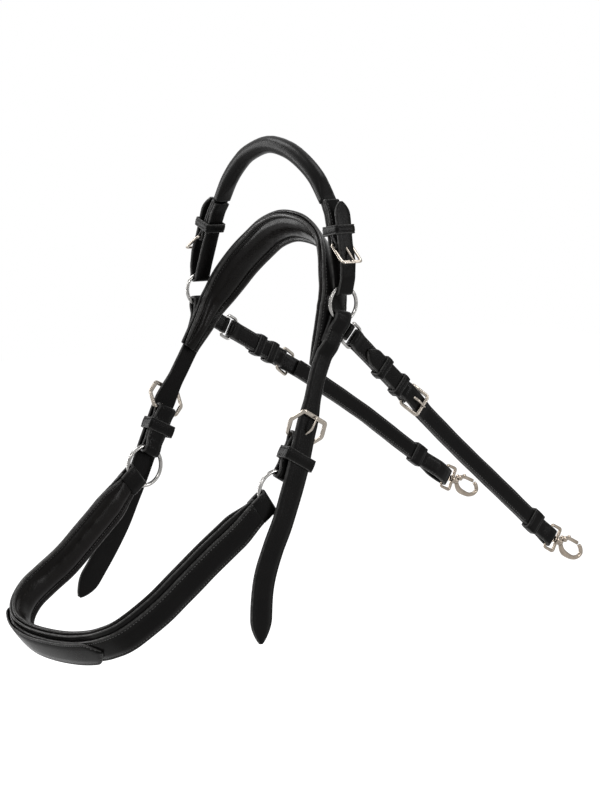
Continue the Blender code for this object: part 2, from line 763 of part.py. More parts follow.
def pitched(start, end, pitch, out):
    """A level profile whose stations fall on multiples of the pitch between its ends."""
    first = math.floor(start / pitch) + 1
    last = math.ceil(end / pitch) - 1
    places = [start] + [index * pitch for index in range(first, last + 1)] + [end]
    if places[1] - places[0] < pitch / 4:
        del places[1]
    if places[-1] - places[-2] < pitch / 4:
        del places[-2]
    return [(place, out) for place in places]


def build_billet(parts, side, route, buckle):
    """The strap that folds round the upper ring and runs down to its pointed tail."""
    name = "billet_" + side
    ring_at = fold_reach(UPPER_RING_DIAMETER, UPPER_RING_WIRE, BILLET_RING_WIDTH + FOLD_EASE)
    loop = UPPER_RING_WIRE / 2 + WIRE_CLEARANCE + BILLET_THICK / 2
    layers = BILLET_THICK + LAYER_GAP
    clear = (UPPER_RING_DIAMETER + UPPER_RING_WIRE) / 2
    under = ring_at + BILLET_FOLD_LENGTH
    profile = [(under, BILLET_LEVEL), (clear, BILLET_LEVEL)]
    profile += arc((ring_at, BILLET_LEVEL + loop), loop, 270, 90, 10)
    profile += [
        (clear, BILLET_LEVEL + 2 * loop), (clear + BILLET_STEP, BILLET_LEVEL + layers),
        (under + BILLET_THICK / 2, BILLET_LEVEL + layers),
        (under + BILLET_THICK / 2 + BILLET_STEP, BILLET_LEVEL), (route.length, BILLET_LEVEL)]
    tip = tip_width(BILLET_WIDTH, line_length(profile), BILLET_POINT, TIP_BLUNT)
    bend = under - ring_at + math.pi * loop / 2
    waist = waisted(BILLET_WIDTH, BILLET_RING_WIDTH, bend, BILLET_NARROW_FLAT, BILLET_NARROW_LENGTH)
    made = folded_strap(
        parts, name, route, profile, lambda distance: min(tip(distance), waist(distance)), BILLET_THICK,
        leather(name), longest=11 * MM)
    hole_start = -TONGUE_WIRE
    buckle.hole(
        parts, made, hole_start, hole_start + BILLET_HOLE_LENGTH, BILLET_LEVEL + BILLET_THICK / 2, BILLET_THICK)


def build_main_side(parts, side, sign):
    """One side's billet, chape, buckle, keeper and rings."""
    route = Route([Vector(point) * MM for point in BILLET_ROUTE[side]], ACROSS_BILLET, sign)
    bar = Vector((BUCKLE_BAR[side].x * sign, BUCKLE_BAR[side].y, BUCKLE_BAR[side].z))
    lower = Vector((LOWER_RING_CENTRE.x * sign, LOWER_RING_CENTRE.y, LOWER_RING_CENTRE.z))
    run = (lower - bar).normalized()
    bar_at = ROUTE_LEAD
    chape_route = Route([bar - run * ROUTE_LEAD, bar, lower, lower + run * ROUTE_LEAD], ACROSS_BILLET, sign)
    radius = MAIN_BUCKLE_WIRE / 2 + WIRE_CLEARANCE + CHAPE_THICK / 2
    buckle = Buckle(chape_route, bar_at, -1, MAIN_BUCKLE_LENGTH, MAIN_BUCKLE_LIFT, MAIN_BUCKLE_WIRE)
    buckle.frame(
        parts, "main_buckle_" + side, MAIN_BUCKLE_END_WIDTH, MAIN_BUCKLE_FLARE_WIDTH,
        metal("main_buckle_" + side))
    buckle.tongue(parts, "main_tongue_" + side, metal("main_tongue_" + side))

    ring_at = bar_at + (lower - bar).length
    fold = fold_reach(LOWER_RING_DIAMETER, LOWER_RING_WIRE, CHAPE_RING_WIDTH + FOLD_EASE)
    bow = LOWER_RING_DIAMETER / 2 - fold
    loop = LOWER_RING_WIRE / 2 + WIRE_CLEARANCE + CHAPE_THICK / 2
    profile = belt(bar_at, radius, 0.0, ring_at - fold, loop, bow, CHAPE_THICK)
    bend = (line_length(profile + profile[:1]) + math.pi * radius) / 2
    width = waisted(MAIN_CHAPE_WIDTH, CHAPE_RING_WIDTH, bend, 2 * loop, CHAPE_NARROW_LENGTH)
    chape = folded_strap(
        parts, "main_chape_" + side, chape_route, profile, width, CHAPE_THICK,
        leather("main_chape_" + side), closed=True)
    buckle.slot(parts, chape, CHAPE_THICK)
    ring(parts, "lower_ring_" + side, lower, LOWER_RING_DIAMETER, LOWER_RING_WIRE, metal("lower_ring_" + side))

    centre = Vector((UPPER_RING_X * sign, RING_CENTRE_Y, RING_CENTRE_Z))
    ring(parts, "upper_ring_" + side, centre, UPPER_RING_DIAMETER, UPPER_RING_WIRE, metal("upper_ring_" + side))
    build_billet(parts, side, route, buckle)
    keeper(
        parts, "main_keeper_" + side, chape_route, bar_at + MAIN_KEEPER_AT, MAIN_KEEPER_LENGTH,
        BILLET_WIDTH + MAIN_KEEPER_ROOM[side], -CHAPE_THICK - LAYER_GAP / 2 - TOUCH_GAP,
        BILLET_LEVEL + 3 * BILLET_THICK / 2 + TOUCH_GAP, leather("main_keeper_" + side),
        over=MAIN_KEEPER_OVER[side])


def build_chest(parts):
    """The chest band: a backing with a pad inside, a raised strap outside and a loop round each ring."""
    route = Route([Vector(point) * MM for point in CHEST_ROUTE], ACROSS_NECK)
    loop = LOWER_RING_WIRE / 2 + WIRE_CLEARANCE + CHAPE_THICK / 2
    fold = fold_reach(LOWER_RING_DIAMETER, LOWER_RING_WIRE, TAB_RING_WIDTH + FOLD_EASE)
    lay = CHEST_BACKING_THICK / 2 + CHEST_GAP + CHAPE_THICK / 2
    clear = (LOWER_RING_DIAMETER + LOWER_RING_WIRE) / 2
    tab_end = fold + TAB_LENGTH
    total = route.length

    def tab_width(distance):
        past_end = min(distance, tab_total - distance) / TAB_LENGTH
        return TAB_END_WIDTH + (TAB_RING_WIDTH - TAB_END_WIDTH) * min(1.0, past_end)

    for side, at, toward in (("near", 0.0, 1), ("off", total, -1)):
        profile = [(at + toward * tab_end, lay), (at + toward * clear, loop)]
        profile += [(at + toward * x, y) for x, y in arc((fold, 0), loop, 90, 270, 10)]
        profile += [(at + toward * clear, -loop), (at + toward * tab_end, -lay)]
        tab_total = line_length(profile)
        folded_strap(
            parts, "chest_tab_" + side, route, profile, tab_width, CHAPE_THICK, leather("chest_tab_" + side),
            longest=12 * MM)

    start = clear + CHEST_END_MARGIN
    top = CHEST_BACKING_THICK / 2

    def backing_width(distance):
        reach = min(distance, total - 2 * start - distance)
        narrow = CHEST_WIDTH - TAB_END_WIDTH + CHEST_STRAP_SHIFT
        return CHEST_WIDTH - narrow * max(0.0, 1 - reach / CHEST_END_TAPER)

    folded_strap(
        parts, "chest_backing", route, pitched(start, total - start, LAYER_PITCH, 0.0), backing_width,
        CHEST_BACKING_THICK, leather("chest_backing"))
    strap_start = tab_end + CHEST_LAYER_STEP
    strap_out = top + CHEST_GAP + CHEST_STRAP_THICK / 2
    folded_strap(
        parts, "chest_strap", route, pitched(strap_start, total - strap_start, LAYER_PITCH, strap_out),
        CHEST_STRAP_WIDTH, CHEST_STRAP_THICK, leather("chest_strap"), shift=CHEST_STRAP_SHIFT)
    pad(
        parts, "chest_pad", route, strap_start, total - strap_start, CHEST_PAD_WIDTH, CHEST_PAD_DEPTH,
        -top - CHEST_GAP, material("chest_pad_lining", LINING, 0.6, 0.0))
    overlay_out = top + 2 * CHEST_GAP + CHEST_STRAP_THICK + OVERLAY_THICK / 2
    middle = total / 2 - OVERLAY_SHIFT
    overlay = pitched(middle - OVERLAY_LENGTH / 2, middle + OVERLAY_LENGTH / 2, LAYER_PITCH, overlay_out)

    def overlay_width(distance):
        share = min(1.0, min(distance, OVERLAY_LENGTH - distance) / OVERLAY_POINT)
        return OVERLAY_BLUNT + (OVERLAY_WIDTH - OVERLAY_BLUNT) * math.sin(max(0.0, share) * math.pi / 2)

    folded_strap(
        parts, "chest_overlay", route, overlay, overlay_width, OVERLAY_THICK, leather("chest_overlay"),
        shift=CHEST_STRAP_SHIFT)


def roll_sections(line):
    """Round sections of the hand strap's roll, flattened to a strap at each end."""
    lengths = [0.0]
    for first, second in zip(line, line[1:]):
        lengths.append(lengths[-1] + (second - first).length)
    total = lengths[-1]
    sections = []
    across = Vector((0, 1, 0))
    for index, point in enumerate(line):
        before = line[max(0, index - 1)]
        after = line[min(len(line) - 1, index + 1)]
        along = (after - before).normalized()
        outward = along.cross(across) * -1
        share = min(1.0, min(lengths[index], total - lengths[index]) / ROLL_FLAT_LENGTH)
        share = share * share * (3 - 2 * share)
        half_wide = HAND_STRAP_WIDTH / 2 + (ROLL_DIAMETER - HAND_STRAP_WIDTH) / 2 * share
        half_deep = ROLL_END_DEPTH / 2 + (ROLL_DIAMETER - ROLL_END_DEPTH) / 2 * share
        power = 0.45 + 0.55 * share
        section = []
        for step in range(12):
            angle = math.radians(30 * step + 15)
            wide = math.cos(angle)
            deep = math.sin(angle)
            section.append(
                point + across * math.copysign(abs(wide) ** power, wide) * half_wide
                + outward * math.copysign(abs(deep) ** power, deep) * half_deep)
        sections.append(section)
    return sections


def lean(pair, side):
    """An (x, z) pair of the hand strap in metres, turned with its side about the middle of the ring's fold."""
    pivot = Vector((UPPER_RING_X, HAND_FOLD_Z))
    turn = Matrix.Rotation(HAND_LEAN[side], 2)
    return pivot + turn @ (Vector(pair) * MM - pivot)


def hand_spot(pair, side):
    """The place of an (x, z) pair of the hand strap on one side."""
    x, z = lean(pair, side)
    return Vector((x * SIDES[side], RING_CENTRE_Y, z))


def build_hand_strap(parts):
    """The rolled hand strap, with a strap, a chape, a buckle and a keeper at each end."""
    roll_line = catmull([Vector((x * MM, RING_CENTRE_Y, z * MM)) for x, z in ROLL_ROUTE], 5)
    loft(parts, "hand_roll", roll_sections(roll_line), leather("hand_roll"))
    top = Vector((0, RING_CENTRE_Y, HAND_FRAME_TOP))
    foot = Vector((0, RING_CENTRE_Y, HAND_FRAME_FOOT))
    for side, sign in SIDES.items():
        route = Route([top, (top + foot) / 2, foot], (0, 1, 0), sign)

        loop = UPPER_RING_WIRE / 2 + WIRE_CLEARANCE + HAND_STRAP_THICK / 2
        bend = arc((UPPER_RING_X / MM, HAND_FOLD_Z / MM), loop / MM, 180, 360, 10)
        leaning = [lean(pair, side) for pair in HAND_INNER_LEG + bend + HAND_OUTER_LEG]
        profile = [(HAND_FRAME_TOP - z, x) for x, z in leaning]
        width = tip_width(HAND_STRAP_WIDTH, line_length(profile), SMALL_POINT, TIP_BLUNT)
        strap = folded_strap(
            parts, "hand_strap_" + side, route, profile, width,
            HAND_STRAP_THICK, leather("hand_strap_" + side), longest=9 * MM)

        bar = hand_spot(HAND_BAR, side)
        start = hand_spot(HAND_CHAPE_START, side)
        bend_points = [hand_spot(pair, side) for pair in HAND_CHAPE_BEND]
        far = hand_spot(HAND_FAR_BAR, side)
        chape_route = Route([start] + bend_points + [bar, bar + (bar - bend_points[-1])], (0, 1, 0), sign)
        bar_at = chape_route.nearest(bar)
        radius = SMALL_BUCKLE_WIRE / 2 + WIRE_CLEARANCE + HAND_CHAPE_THICK / 2
        profile = belt(0.0, 0.0, 0.0, bar_at, radius, 0.0, HAND_CHAPE_THICK)
        chape = folded_strap(
            parts, "hand_chape_" + side, chape_route, profile, HAND_STRAP_WIDTH, HAND_CHAPE_THICK,
            leather("hand_chape_" + side), closed=True, longest=9 * MM)
        buckle_route = Route([bar + (bar - far), bar, far, far + (far - bar)], (0, 1, 0), sign)
        at = buckle_route.nearest(bar)
        buckle = Buckle(buckle_route, at, 1, (far - bar).length, 0.0, SMALL_BUCKLE_WIRE)
        buckle.frame(parts, "hand_buckle_" + side, SMALL_BUCKLE_WIDTH, 0.0, metal("hand_buckle_" + side))
        buckle.tongue(parts, "hand_tongue_" + side, metal("hand_tongue_" + side))
        chape_buckle = Buckle(chape_route, bar_at, 1, (far - bar).length, 0.0, SMALL_BUCKLE_WIRE)
        chape_buckle.slot(parts, chape, HAND_CHAPE_THICK)
        hole_start = -HAND_HOLE_BACK
        buckle.hole(
            parts, strap, hole_start, hole_start + HAND_HOLE_LENGTH, HAND_STRAP_THICK / 2, HAND_STRAP_THICK)
        keeper_route = Route([hand_spot(pair, side) for pair in reversed(HAND_KEEPER_AXIS)], (0, 1, 0), sign)
        keeper(
            parts, "hand_keeper_" + side, keeper_route, keeper_route.length / 2, SMALL_KEEPER_LENGTH,
            HAND_STRAP_WIDTH + HAND_KEEPER_PLAY, -HAND_KEEPER_DEPTH / 2, HAND_KEEPER_DEPTH / 2,
            leather("hand_keeper_" + side))


def build_snap_side(parts, side, sign, crown_pad):
    """One side's dee, tab, chape, buckle, keepers, strap, eye, hook and gate."""
    plane_x = (SIDE_X - DEE_DROP) * sign
    points = [Vector((plane_x, y * MM, z * MM)) for y, z in SNAP_ROUTE[side]]
    route = Route(points, SNAP_ACROSS[side], sign)
    along, across, outward = route.frame(0.0)
    dee_corner = points[0]
    half = (SNAP_STRAP_WIDTH + DEE_WIRE + DEE_PLAY) / 2
    outline = rounded_loop(
        [(-DEE_DEPTH, -half), (0, -half), (0, half), (-DEE_DEPTH, half)],
        [DEE_CORNER, DEE_BOW_RADIUS, DEE_BOW_RADIUS, DEE_CORNER], 5)
    wire(
        parts, "dee_" + side, [dee_corner + along * a + across * b for a, b in outline],
        DEE_WIRE / 2, metal("dee_" + side), closed=True)

    sleeve_inner = DEE_WIRE / 2 + WIRE_CLEARANCE
    sleeve_outer = sleeve_inner + DEE_TAB_THICK
    tangent = math.degrees(math.asin(DEE_FLANGE_THICK / 2 / sleeve_outer))
    outer = arc((0, 0), sleeve_outer, 180 - tangent, -(180 - tangent), 14)
    flange = DEE_FLANGE_THICK / 2
    outer = [(-DEE_FLANGE_LENGTH, flange)] + outer + [(-DEE_FLANGE_LENGTH, -flange)]
    hole = arc((0, 0), sleeve_inner, 0, 360, 12)[:-1]
    bar = dee_corner - along * DEE_DEPTH
    tab = plate(
        parts, "dee_tab_" + side, [outer, hole], DEE_TAB_WIDTH / 2, bar, along, outward,
        leather("dee_tab_" + side))
    pocket = block(
        parts, route, -DEE_DEPTH - DEE_FLANGE_LENGTH - TOUCH_GAP, -DEE_DEPTH - sleeve_inner,
        DEE_TAB_WIDTH / 2 + TOUCH_GAP, -flange - TOUCH_GAP, flange + 2 * MM)
    boolean(crown_pad, pocket, "DIFFERENCE")

    bow_reach = SNAP_STRAP_WIDTH - 2 * (half - DEE_BOW_RADIUS) + FOLD_EASE
    bow = DEE_BOW_RADIUS - fold_reach(2 * DEE_BOW_RADIUS, DEE_WIRE, bow_reach)
    loop = DEE_WIRE / 2 + WIRE_CLEARANCE + SNAP_CHAPE_THICK / 2
    heel = SNAP_HEEL[side]
    radius = SMALL_BUCKLE_WIRE / 2 + WIRE_CLEARANCE + SNAP_CHAPE_THICK / 2
    profile = belt(-bow, loop, bow, heel, radius, 0.0, SNAP_CHAPE_THICK)
    chape = folded_strap(
        parts, "snap_chape_" + side, route, profile, SNAP_STRAP_WIDTH, SNAP_CHAPE_THICK,
        leather("snap_chape_" + side), closed=True, longest=16 * MM)
    buckle = Buckle(route, heel, 1, SMALL_BUCKLE_LENGTH, SNAP_BUCKLE_LIFT, SMALL_BUCKLE_WIRE)
    buckle.frame(parts, "snap_buckle_" + side, SMALL_BUCKLE_WIDTH, 0.0, metal("snap_buckle_" + side))
    buckle.tongue(parts, "snap_tongue_" + side, metal("snap_tongue_" + side))
    buckle.slot(parts, chape, SNAP_CHAPE_THICK)

    end = route.length
    lay = SNAP_STRAP_THICK / 2 + LAYER_GAP / 2
    over_chape = SNAP_CHAPE_THICK + LAYER_GAP / 2 + TOUCH_GAP + SNAP_STRAP_THICK / 2
    over_heel = SMALL_BUCKLE_WIRE / 2 + WIRE_CLEARANCE + SNAP_CHAPE_THICK + TOUCH_GAP + SNAP_STRAP_THICK / 2
    under_bar = SNAP_BUCKLE_LIFT - SMALL_BUCKLE_WIRE / 2 - TOUCH_GAP - SNAP_STRAP_THICK / 2
    eye_loop = SNAP_EYE_WIRE / 2 + WIRE_CLEARANCE + SNAP_STRAP_THICK / 2
    skew = SNAP_STRAP_WIDTH / 2 * math.tan(HOOK_TURN[side]) + TOUCH_GAP
    bow = SNAP_LOOP_BOW[side]
    if bow > 0:
        open_loop = [
            (end - SNAP_LOOP_LENGTH, lay), (end - 0.75 * SNAP_LOOP_LENGTH, lay + 0.5 * bow),
            (end - 0.5 * SNAP_LOOP_LENGTH, lay + bow), (end - 0.25 * SNAP_LOOP_LENGTH, lay + 0.9 * bow),
            (end - skew, eye_loop + 0.3 * bow)]
    else:
        open_loop = [(end - skew - 11 * MM, lay), (end - skew - 1.5 * MM, eye_loop)]
    profile = [
        (SNAP_TIP_AT, over_chape), (heel - 8.5 * MM, over_chape), (heel - 4.5 * MM, over_heel),
        (heel + 5 * MM, over_heel), (heel + SMALL_BUCKLE_LENGTH - 2 * MM, under_bar),
        (heel + SMALL_BUCKLE_LENGTH + 2 * MM, under_bar - TOUCH_GAP),
        (heel + SMALL_BUCKLE_LENGTH + 12 * MM, lay)]
    profile += open_loop + arc((end + skew, 0), eye_loop, 90, -90, 10)
    profile += [(s, -out) for s, out in reversed(open_loop)]
    profile.append((heel + SMALL_BUCKLE_LENGTH + 5 * MM, -lay))

    total = line_length(profile)
    point_width = tip_width(SNAP_STRAP_WIDTH, total, SMALL_POINT, TIP_BLUNT)
    strap = folded_strap(
        parts, "snap_strap_" + side, route, profile, lambda distance: point_width(total - distance),
        SNAP_STRAP_THICK, leather("snap_strap_" + side), longest=16 * MM)
    buckle.hole(
        parts, strap, -SNAP_HOLE_BACK, -SNAP_HOLE_BACK + SMALL_HOLE_LENGTH, over_heel, SNAP_STRAP_THICK)
    top = over_chape + SNAP_STRAP_THICK / 2 + TOUCH_GAP
    for index, back in enumerate(SNAP_KEEPERS_BACK[side]):
        keeper(
            parts, "snap_keeper_%d_%s" % (index + 1, side), route, heel - back, SMALL_KEEPER_LENGTH,
            SNAP_STRAP_WIDTH + SNAP_KEEPER_PLAY, -SNAP_CHAPE_THICK - LAYER_GAP / 2 - TOUCH_GAP, top,
            leather("snap_keeper_%d_%s" % (index + 1, side)))
    slide = lay + SNAP_STRAP_THICK / 2 + SLIDER_PLAY
    keeper(
        parts, "snap_slider_" + side, route, end - SNAP_SLIDER_BACK[side], SLIDER_LENGTH,
        SNAP_STRAP_WIDTH + SNAP_KEEPER_PLAY, -slide, slide, leather("snap_slider_" + side))
    build_hook(parts, side, route)


def build_hook(parts, side, route):
    """The swivel eye on the strap's end, and the snap hook with its gate and pin."""
    end = route.length
    run, across, outward = route.frame(end)
    centre = route.middle(end)
    tilt = Matrix.Rotation(HOOK_TURN[side], 3, Vector((1, 0, 0)))
    along = tilt @ run
    flat = tilt @ across

    def at(reach, over, out=0.0):
        return centre + along * reach + flat * over + outward * out

    half = SNAP_EYE_WIDTH / 2
    inner = SNAP_EYE_DEPTH
    outline = rounded_loop([(0, -half), (inner, -half), (inner, half), (0, half)], [SNAP_EYE_CORNER] * 4, 3)
    skin = metal("snap_eye_" + side)
    eye = wire(parts, "snap_eye_" + side, [at(a, b) for a, b in outline], SNAP_EYE_WIRE / 2, skin, closed=True)

    def cylinder(name, start, stop, radius, bore=0.0, sides=16):
        """A straight round piece along the hook's own axis, hollow where bore is given."""
        sections = []
        rows = [(start, radius), (stop, radius)]
        if bore:
            rows += [(stop, bore), (start, bore)]
        for reach, size in rows:
            turns = [2 * math.pi * step / sides for step in range(sides)]
            sections.append([at(reach, size * math.cos(turn), size * math.sin(turn)) for turn in turns])
        return loft(parts, name, sections, skin, closed=bool(bore))

    boss_low = inner - SWIVEL_BOSS_LENGTH / 2
    boss_high = inner + SWIVEL_BOSS_LENGTH / 2
    boolean(eye, cylinder("boss", boss_low, boss_high, SWIVEL_BOSS_DIAMETER / 2), "UNION")
    bore = SWIVEL_STEM_DIAMETER / 2 + TOUCH_GAP
    boolean(eye, cylinder("bore", boss_low - 1 * MM, boss_high + 1 * MM, bore), "DIFFERENCE")

    skin = metal("snap_hook_" + side)
    neck = boss_high + TOUCH_GAP
    head_low = boss_low - TOUCH_GAP - SWIVEL_HEAD_LENGTH
    hook_start = neck + HOOK_NECK_LENGTH
    half_wide = HOOK_WIDTH / 2
    shape = [
        (-0.06, 0.0), (0.09, 0.70), (0.28, 1.0), (0.63, 0.98), (0.88, 0.62), (1.0, 0.0),
        (0.92, -0.55), (0.80, -0.78)]
    line = [Vector((hook_start + a * HOOK_LENGTH, b * half_wide, 0)) for a, b in shape]
    smooth = catmull(line, 4)
    hook = wire(parts, "snap_hook_" + side, [at(p[0], -p[1]) for p in smooth], HOOK_WIRE / 2, skin)
    boolean(hook, cylinder("neck", neck, hook_start, SWIVEL_BOSS_DIAMETER / 2 - TOUCH_GAP), "UNION")
    boolean(hook, cylinder("stem", head_low + 0.5 * MM, neck + 0.5 * MM, SWIVEL_STEM_DIAMETER / 2), "UNION")
    boolean(hook, cylinder("head", head_low, head_low + SWIVEL_HEAD_LENGTH, SWIVEL_HEAD_DIAMETER / 2), "UNION")
    pivot = (hook_start + 1.5 * MM, half_wide * 0.55)

    def round_plate(name, radius, half_thick, sides=12):
        """A round piece across the hook at the gate's pivot."""
        return loft(parts, name, [[
            at(pivot[0] + radius * math.cos(2 * math.pi * step / sides),
               pivot[1] + radius * math.sin(2 * math.pi * step / sides), reach * half_thick)
            for step in range(sides)] for reach in (-1, 1)], skin)

    ear_half = GATE_WIRE / 2 + TOUCH_GAP + HOOK_EAR_THICK
    boolean(hook, round_plate("ear", HOOK_EAR_RADIUS, ear_half), "UNION")
    gate_room = GATE_WIRE / 2 + TOUCH_GAP
    slot = [[
        at(pivot[0] + a * MM, pivot[1] + b * MM, reach * gate_room)
        for a, b in ((-2.2, -2.4), (9, -2.4), (9, 9), (-2.2, 9))] for reach in (-1, 1)]
    boolean(hook, loft(parts, "slot", slot, skin), "DIFFERENCE")
    boolean(hook, round_plate("pin_bore", GATE_PIN_DIAMETER / 2 + TOUCH_GAP, 2 * ear_half), "DIFFERENCE")

    skin = metal("snap_gate_" + side)
    gate_line = half_wide * 0.93
    gate = wire(
        parts, "snap_gate_" + side,
        [at(*pivot), at(pivot[0] + 4 * MM, gate_line * 0.88), at(pivot[0] + 8 * MM, gate_line),
         at(hook_start + GATE_REACH, gate_line)],
        GATE_WIRE / 2 - 0.1 * MM, skin)
    boolean(gate, round_plate("knuckle", GATE_KNUCKLE_RADIUS, GATE_WIRE / 2), "UNION")
    boolean(gate, round_plate("knuckle_bore", GATE_PIN_DIAMETER / 2 + TOUCH_GAP, GATE_WIRE), "DIFFERENCE")
    skin = metal("snap_pin_" + side)
    round_plate("snap_pin_" + side, GATE_PIN_DIAMETER / 2, ear_half + PIN_HEAD_LENGTH)


def main():
    parts = start_clean("neck_strap")
    crown_route = Route([Vector(point) * MM for point in CROWN_ROUTE], ACROSS_NECK)
    crown_pad = build_crown(parts, crown_route)
    for side, sign in SIDES.items():
        build_main_side(parts, side, sign)
    build_chest(parts)
    build_hand_strap(parts)
    for side, sign in SIDES.items():
        build_snap_side(parts, side, sign, crown_pad)


main()
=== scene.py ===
"""Dresses the neck strap: stitched leather, padded linings, a rolled hand strap and satin nickel fittings.

The sizes and routes are the ones that the solids were made from, so each piece lies where its solid does.
"""
import math
from bisect import bisect_right

import bmesh
import bpy
from mathutils import Matrix, Vector, noise


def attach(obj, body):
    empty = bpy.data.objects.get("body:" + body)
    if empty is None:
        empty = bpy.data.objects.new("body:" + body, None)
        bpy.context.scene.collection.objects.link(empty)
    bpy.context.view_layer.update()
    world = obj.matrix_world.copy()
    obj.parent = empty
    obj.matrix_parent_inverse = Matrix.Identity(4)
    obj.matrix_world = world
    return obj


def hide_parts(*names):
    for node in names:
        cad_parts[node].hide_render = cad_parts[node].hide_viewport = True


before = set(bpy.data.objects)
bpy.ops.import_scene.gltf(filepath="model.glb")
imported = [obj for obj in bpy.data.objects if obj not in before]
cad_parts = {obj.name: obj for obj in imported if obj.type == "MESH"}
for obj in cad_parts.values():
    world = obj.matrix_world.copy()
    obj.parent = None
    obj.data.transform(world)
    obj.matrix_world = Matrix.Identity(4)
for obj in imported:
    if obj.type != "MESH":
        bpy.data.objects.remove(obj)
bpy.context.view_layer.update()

MM = 0.001

# Strap leather
BILLET_WIDTH = 25.4 * MM
BILLET_THICK = 3.0 * MM
CHAPE_THICK = 2.8 * MM
SNAP_STRAP_WIDTH = 18.0 * MM
SNAP_STRAP_THICK = 2.8 * MM
HAND_STRAP_WIDTH = 18.0 * MM
HAND_STRAP_THICK = 2.8 * MM
MAIN_KEEPER_LENGTH = 12.0 * MM
SMALL_KEEPER_LENGTH = 9.0 * MM
ROLL_DIAMETER = 17.0 * MM
ROLL_FLAT_LENGTH = 26.0 * MM
ROLL_END_DEPTH = 8.4 * MM
BILLET_FOLD_LENGTH = 30.0 * MM
BILLET_RING_WIDTH = 20.0 * MM
BILLET_NARROW_FLAT = 88.0 * MM
BILLET_NARROW_LENGTH = 30.0 * MM
BILLET_STEP = 9.0 * MM
BILLET_POINT = 24.0 * MM
SMALL_POINT = 12.0 * MM
TIP_BLUNT = 5.0 * MM
TOUCH_GAP = 0.3 * MM
CROWN_GAP = 0.5 * MM
CHEST_GAP = 0.8 * MM
LAYER_GAP = 0.3 * MM

# Neck piece
CROWN_WIDTH = 38.0 * MM
CROWN_THICK = 3.0 * MM
CROWN_PAD_WIDTH = 37.0 * MM
CROWN_PAD_DEPTH = 7.0 * MM
CROWN_END_MARGIN = 3.0 * MM
CROWN_END_WIDTH = 23.0 * MM
CROWN_TAPER_LENGTH = 90.0 * MM

# Chest band
CHEST_WIDTH = 33.0 * MM
CHEST_BACKING_THICK = 2.4 * MM
CHEST_STRAP_WIDTH = 27.0 * MM
CHEST_STRAP_THICK = 2.8 * MM
CHEST_STRAP_SHIFT = 2.2 * MM
CHEST_PAD_WIDTH = 34.5 * MM
CHEST_PAD_DEPTH = 6.0 * MM
OVERLAY_WIDTH = 30.0 * MM
OVERLAY_THICK = 1.8 * MM
OVERLAY_LENGTH = 160.0 * MM
OVERLAY_SHIFT = -16.5 * MM
OVERLAY_POINT = 20.0 * MM
OVERLAY_BLUNT = 4.0 * MM
TAB_RING_WIDTH = 25.0 * MM
TAB_END_WIDTH = 29.0 * MM
CHEST_END_MARGIN = 2.5 * MM
CHEST_END_TAPER = 38.0 * MM
CHEST_LAYER_STEP = 1.0 * MM

# Rings, dees and buckles
WIRE_CLEARANCE = 0.35 * MM
FOLD_EASE = 0.8 * MM
UPPER_RING_PLAY = 3.0 * MM
UPPER_RING_WIRE = 3.6 * MM
UPPER_RING_DIAMETER = BILLET_WIDTH + UPPER_RING_PLAY + UPPER_RING_WIRE
LOWER_RING_DIAMETER = 40.0 * MM
LOWER_RING_WIRE = 4.0 * MM
DEE_WIRE = 3.2 * MM
DEE_DEPTH = 12.0 * MM
DEE_PLAY = 1.2 * MM
DEE_CORNER = 1.6 * MM
DEE_DROP = 1.3 * MM
DEE_BOW_RADIUS = 3.6 * MM
DEE_TAB_THICK = 1.6 * MM
DEE_TAB_WIDTH = 16.0 * MM
DEE_FLANGE_THICK = 1.7 * MM
DEE_FLANGE_LENGTH = 19.0 * MM
MAIN_BUCKLE_WIRE = 3.8 * MM
MAIN_BUCKLE_LENGTH = 24.0 * MM
MAIN_BUCKLE_PLAY = 3.6 * MM
MAIN_BUCKLE_FLARE = 13.0 * MM
MAIN_BUCKLE_LIFT = 10.8 * MM
SMALL_BUCKLE_WIRE = 3.0 * MM
SMALL_BUCKLE_LENGTH = 20.0 * MM
SMALL_BUCKLE_PLAY = 5.0 * MM
SNAP_BUCKLE_LIFT = 7.2 * MM
TONGUE_WIRE = 2.6 * MM

# Snap hooks
SNAP_EYE_WIRE = 3.0 * MM
SNAP_EYE_PLAY = 3.8 * MM
SNAP_EYE_DEPTH = 13.2 * MM
SNAP_EYE_CORNER = 2.0 * MM
SWIVEL_BOSS_DIAMETER = 8.6 * MM
SWIVEL_BOSS_LENGTH = 4.6 * MM
SWIVEL_STEM_DIAMETER = 4.0 * MM
SWIVEL_HEAD_DIAMETER = 6.4 * MM
SWIVEL_HEAD_LENGTH = 1.8 * MM
HOOK_WIRE = 4.2 * MM
HOOK_WIDTH = 18.0 * MM
HOOK_LENGTH = 32.0 * MM
HOOK_NECK_LENGTH = 5.0 * MM
GATE_WIRE = 3.0 * MM
GATE_PIN_DIAMETER = 1.4 * MM
GATE_REACH = 0.7 * HOOK_LENGTH
HOOK_EAR_RADIUS = 3.2 * MM
HOOK_EAR_THICK = 1.4 * MM

# Places that mating pieces share
SIDE_X = 106.0 * MM
RING_CENTRE_Y = -20.0 * MM
RING_CENTRE_Z = -64.0 * MM
LOWER_RING_X = 108.0 * MM
LOWER_RING_Y = -95.5 * MM
LOWER_RING_Z = -238.5 * MM
MAIN_CHAPE_LENGTH = {"near": 54.8 * MM, "off": 60.2 * MM}
MAIN_CHAPE_LEAN = {"near": math.radians(28.9), "off": math.radians(25.1)}
MAIN_CHAPE_WIDTH = 22.0 * MM
CHAPE_RING_WIDTH = 19.0 * MM
CHAPE_NARROW_LENGTH = 16.0 * MM
MAIN_KEEPER_AT = 18.0 * MM
MAIN_KEEPER_ROOM = {"near": 7.6 * MM, "off": 3.2 * MM}
MAIN_KEEPER_OVER = {"near": 4.4 * MM, "off": 1.7 * MM}
ROUTE_LEAD = 60.0 * MM


